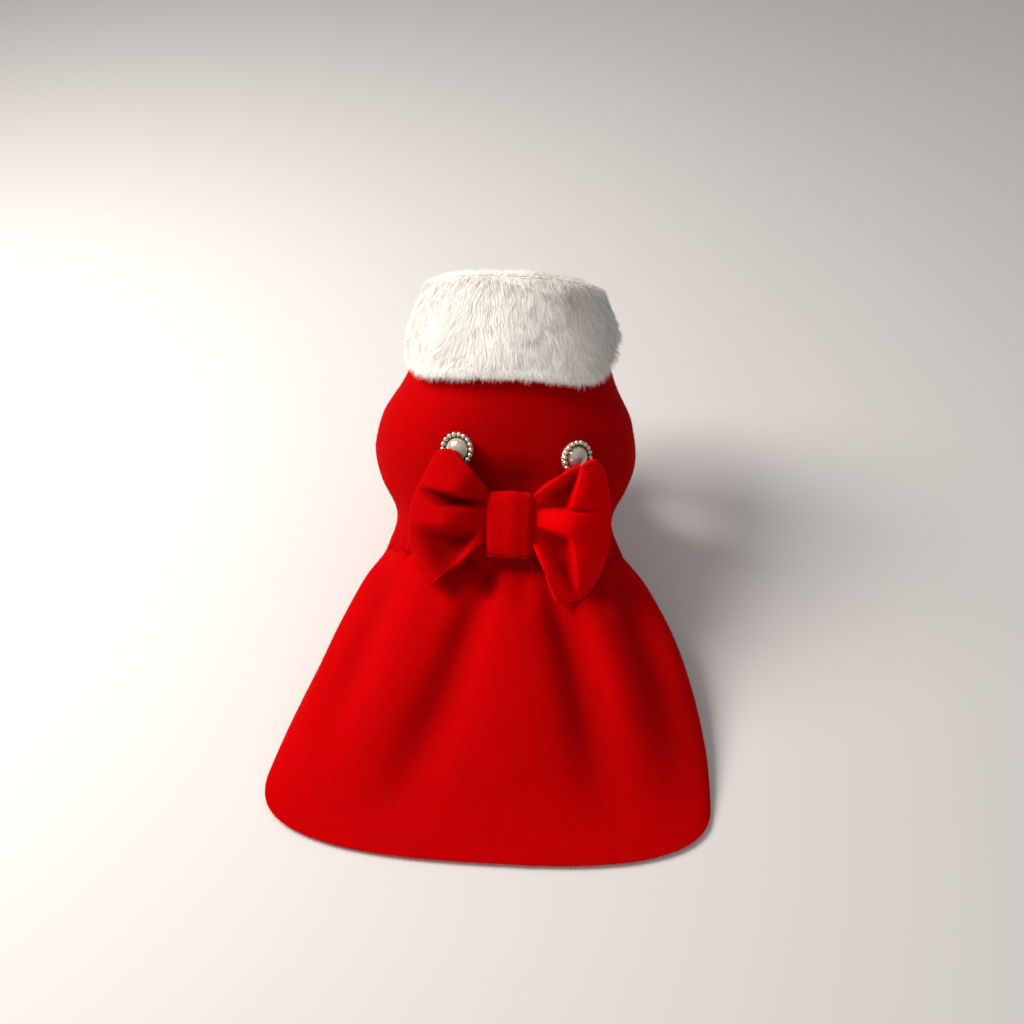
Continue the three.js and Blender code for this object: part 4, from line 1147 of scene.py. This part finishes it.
def blades(name, roots, along, bend, across, lengths, widths, shade, levels):
    """Tapering strips: at s from 0 to 1 a strip's middle is root + length * (along * s + bend * s²),
    its half width is width / 2 * (1 - s)^0.6, and it ends in one point."""
    s = (np.arange(levels) / levels)[None, :, None]
    length = lengths[:, None, None]
    middle = roots[:, None] + length * (along[:, None] * s + bend[:, None] * s ** 2)
    half = across[:, None] * (widths[:, None, None] / 2 * (1 - s) ** 0.6)
    tip = roots + lengths[:, None] * (along + bend)
    pairs = np.stack([middle - half, middle + half], 2).reshape(len(roots), -1, 3)
    points = np.concatenate([pairs, tip[:, None]], 1)
    low = np.arange(levels - 1) * 2
    steps = [np.stack([low, low + 1, low + 3], -1), np.stack([low, low + 3, low + 2], -1)]
    one = np.concatenate([*steps, [[2 * levels - 2, 2 * levels - 1, 2 * levels]]]).astype(int)
    faces = (one[None] + (np.arange(len(roots)) * (2 * levels + 1))[:, None, None]).reshape(-1, 3)
    piece = new_piece(name, points, faces)
    normals = np.repeat(shade[:, None], 2 * levels + 1, 1).reshape(-1, 3)
    piece.data.normals_split_custom_set_from_vertices(normals.astype(np.float32))
    way = np.concatenate([np.repeat(np.arange(levels) / levels, 2), [1.0]])
    give_values(piece, "way", np.tile(way, len(roots)))
    return piece


# %% [markdown]
# Plush fur is many fine, nearly white fibres. Light passes from one to the next, so it looks
# bright and soft with creamy, slightly darker roots. The colour goes from root to tip by a value
# on each blade, and clouds of warmer and cooler white run through it.

# %% Plush fur
def plush_fur(name):
    """Cream at the roots and nearly white at the tips, by the value called way."""
    material, tree = new_material(name)
    way = node(tree, "Attribute", {"attribute_name": "way"}).outputs["Fac"]
    place = node(tree, "TexCoord").outputs["Object"]
    clouds = node(tree, "TexNoise", Vector=place, Scale=55.0, Detail=3.0)
    tips = blend_colours(tree, clouds.outputs["Fac"], linear("#fdf9f3"), linear("#fffefc"))
    colour = blend_colours(tree, way, linear("#fbf5ec"), tips)
    shader = node(tree, "BsdfPrincipled", Base_Color=colour, Roughness=0.7, IOR=1.45)
    shader.inputs["Specular IOR Level"].default_value = 0.25
    shader.inputs["Sheen Weight"].default_value = 0.25
    shader.inputs["Sheen Roughness"].default_value = 0.5
    set_surface(tree, shader)
    return material


fur_pile = plush_fur("plush_fur_pile_cream")
hide.data.materials.append(fur_pile)
place_piece(hide, ["collar"])

# %% The collar's pile
PARTING = 0.14 * np.pi      # turn at which the pile parts, near the roll
FUR_LENGTH = 6.4
FUR_WIDTH = 0.32
FUR_ROWS = 61
FUR_COLUMNS = 121
FUR_BLADES = 38000          # on each third of the collar
LOCK_SIZE = 4.2             # millimetres across a lock of fur


def fur_pile_piece(name, low_angle, high_angle, seed):
    """Fur on the part of the hide between two angles. The flow goes from the parting to either
    edge, with slow waves, and each lock of blades leans to its own middle."""
    turns = np.linspace(-0.3 * np.pi, 1.02 * np.pi, FUR_ROWS)
    angles = np.linspace(low_angle, high_angle, FUR_COLUMNS)
    turn, angle = np.meshgrid(turns, angles, indexing="ij")
    grid = collar_section(angle, turn, PILE_INSET, HIDE_SHARE)
    faces = grid_faces(FUR_ROWS, FUR_COLUMNS, flip=True)
    count = FUR_BLADES
    roots, out, cell, random = scatter(grid.reshape(-1, 3), faces, count, seed)
    row, column = np.divmod(cell, FUR_COLUMNS - 1)
    down = unit(grid[row + 1, column] - grid[row, column])
    side = unit(grid[row, column + 1] - grid[row, column])
    root_turn = turns[row]
    root_angle = angles[column]
    flow = np.tanh((root_turn - PARTING) / 0.35)
    wave = (0.35 * np.sin(5.1 * root_angle + 1.3) + 0.25 * np.sin(11.3 * root_angle + 2.4 * root_turn)
            + 0.2 * np.sin(3.7 * root_turn - 7.9 * root_angle))
    fan = 0.35 * np.sin(root_angle) + 0.6 * wave + 0.2 * random.standard_normal(count)
    lie = unit(down * flow[:, None] + side * fan[:, None])
    near_edge = ease(root_turn, 0.74 * np.pi, 0.97 * np.pi)
    lift = 0.25 + 0.45 * (1 - np.abs(flow)) + 0.08 * random.standard_normal(count) + 2.2 * near_edge
    lift = lift + 0.08 * np.sin(9 * root_angle + 4 * root_turn)
    along = unit(lie + out * np.maximum(lift, 0.1)[:, None])
    lock = np.floor(roots / LOCK_SIZE + 0.35 * np.sin(roots[:, [1, 2, 0]] / 3.1))
    mixing = np.array([[12.99, 39.35, 73.16], [78.23, 11.14, 52.24], [37.72, 83.16, 9.15]])
    spin = np.sin(lock @ mixing) * 43758.5
    lean = 2 * (spin - np.floor(spin)) - 1
    middle = (lock + 0.5) * LOCK_SIZE + lean * 1.2
    gather = (middle - roots) * 0.02
    bend = unit(lie + 0.5 * lean) * 0.22 - out * 0.16 + gather
    length = FUR_LENGTH * (1 + 0.16 * random.standard_normal(count)).clip(0.55, 1.35)
    length = length * (1 - 0.5 * hump(root_turn - PARTING, 0.17))
    roll = random.normal(0, 0.25, count)[:, None]
    beside = unit(np.cross(along, out))
    across = beside * np.cos(roll) + np.cross(along, beside) * np.sin(roll)
    width = FUR_WIDTH * random.uniform(0.6, 1.3, count)
    shade = unit(out - 0.5 * lie * (1 - near_edge[:, None]) + 0.1 * random.standard_normal((count, 3)))
    piece = blades(name, roots, along, bend, across, length, width, shade, 2)
    piece.data.materials.append(fur_pile)
    place_piece(piece, ["collar"])
    return piece


end = COLLAR["end"] * 0.985
pile = [
    fur_pile_piece("collar_pile_left", -end, -0.5, 11),
    fur_pile_piece("collar_pile_middle", -0.5, 0.5, 12),
    fur_pile_piece("collar_pile_right", 0.5, end, 13),
]
print("Fur triangles:", [len(piece.data.polygons) for piece in pile])

# %% [markdown]
# The nap of the cloth is a thin haze of short fibres. They hardly show on the face, but they make
# every edge and outline soft, and pale where the light comes through them. They are single thin
# triangles, brushed downwards, with more of them on the turned edges.

# %% The nap on the cloth
NAP_LENGTH = 1.0
NAP_WIDTH = 0.09
BRUSHED_WAY = np.array([0.0, -0.75, -0.65])     # down the garment


def edge_strip(points, faces):
    """The cells with a free side: those that hold an edge which no other cell shares."""
    sides = np.sort(np.stack([faces, np.roll(faces, -1, 1)], -1), -1)
    keys = sides[..., 0].astype(np.int64) * len(points) + sides[..., 1]
    _, index, count = np.unique(keys, return_inverse=True, return_counts=True)
    return (count[index].reshape(keys.shape) == 1).any(1)


def nap_piece(name, density, edge_density, seed):
    """Nap on one cloth surface: leaning down the garment, and outwards at its free edges."""
    points, faces, painted_fold_shade = cloth_faces[name]
    corner = points[faces]
    cross = np.cross(corner[:, 2] - corner[:, 0], corner[:, 3] - corner[:, 1])
    total = np.linalg.norm(cross, axis=1).sum() / 2
    free = edge_strip(points, faces)
    free_total = np.linalg.norm(cross[free], axis=1).sum() / 2
    parts = []
    for cells, count, edge in ((faces, int(total * density), 0.0),
                               (faces[free], int(free_total * edge_density), 1.0)):
        roots, out, cell, random = scatter(points, cells, count, seed)
        brushed = unit(BRUSHED_WAY - out * (out @ BRUSHED_WAY)[:, None])
        roots = roots - out * edge * random.uniform(0, CLOTH * 0.8, count)[:, None]
        wild = random.standard_normal((count, 3))
        outward = unit(roots - corner.mean((0, 1))) * edge
        along = unit(out * 0.75 + brushed * 0.55 + wild * 0.5 + outward * 0.8)
        size = random.uniform(0.5, 1.25, count) * (1 + 0.9 * edge)
        parts.append((roots, along, out, wild, size, painted_fold_shade[cells[cell]].mean(1)))
    roots, along, out, wild, size, shade = (np.concatenate(each) for each in zip(*parts))
    across = unit(np.cross(along, out + 0.2 * wild))
    piece = blades(name + "_nap", roots, along, wild * 0.12, across, NAP_LENGTH * size,
                   NAP_WIDTH * (0.6 + 0.4 * size), out, 1)
    # Each fibre takes the painted fold shade of the cloth under it.
    give_values(piece, "painted_fold_shade", np.repeat(shade, 3))
    piece.data.materials.append(wool_nap)
    place_piece(piece, [])
    return len(roots)


naps = [nap_piece(name, 1.3, 6.0, 30 + i) for i, name in enumerate(list(cloth_faces))]
print("Nap fibres:", naps, sum(naps))
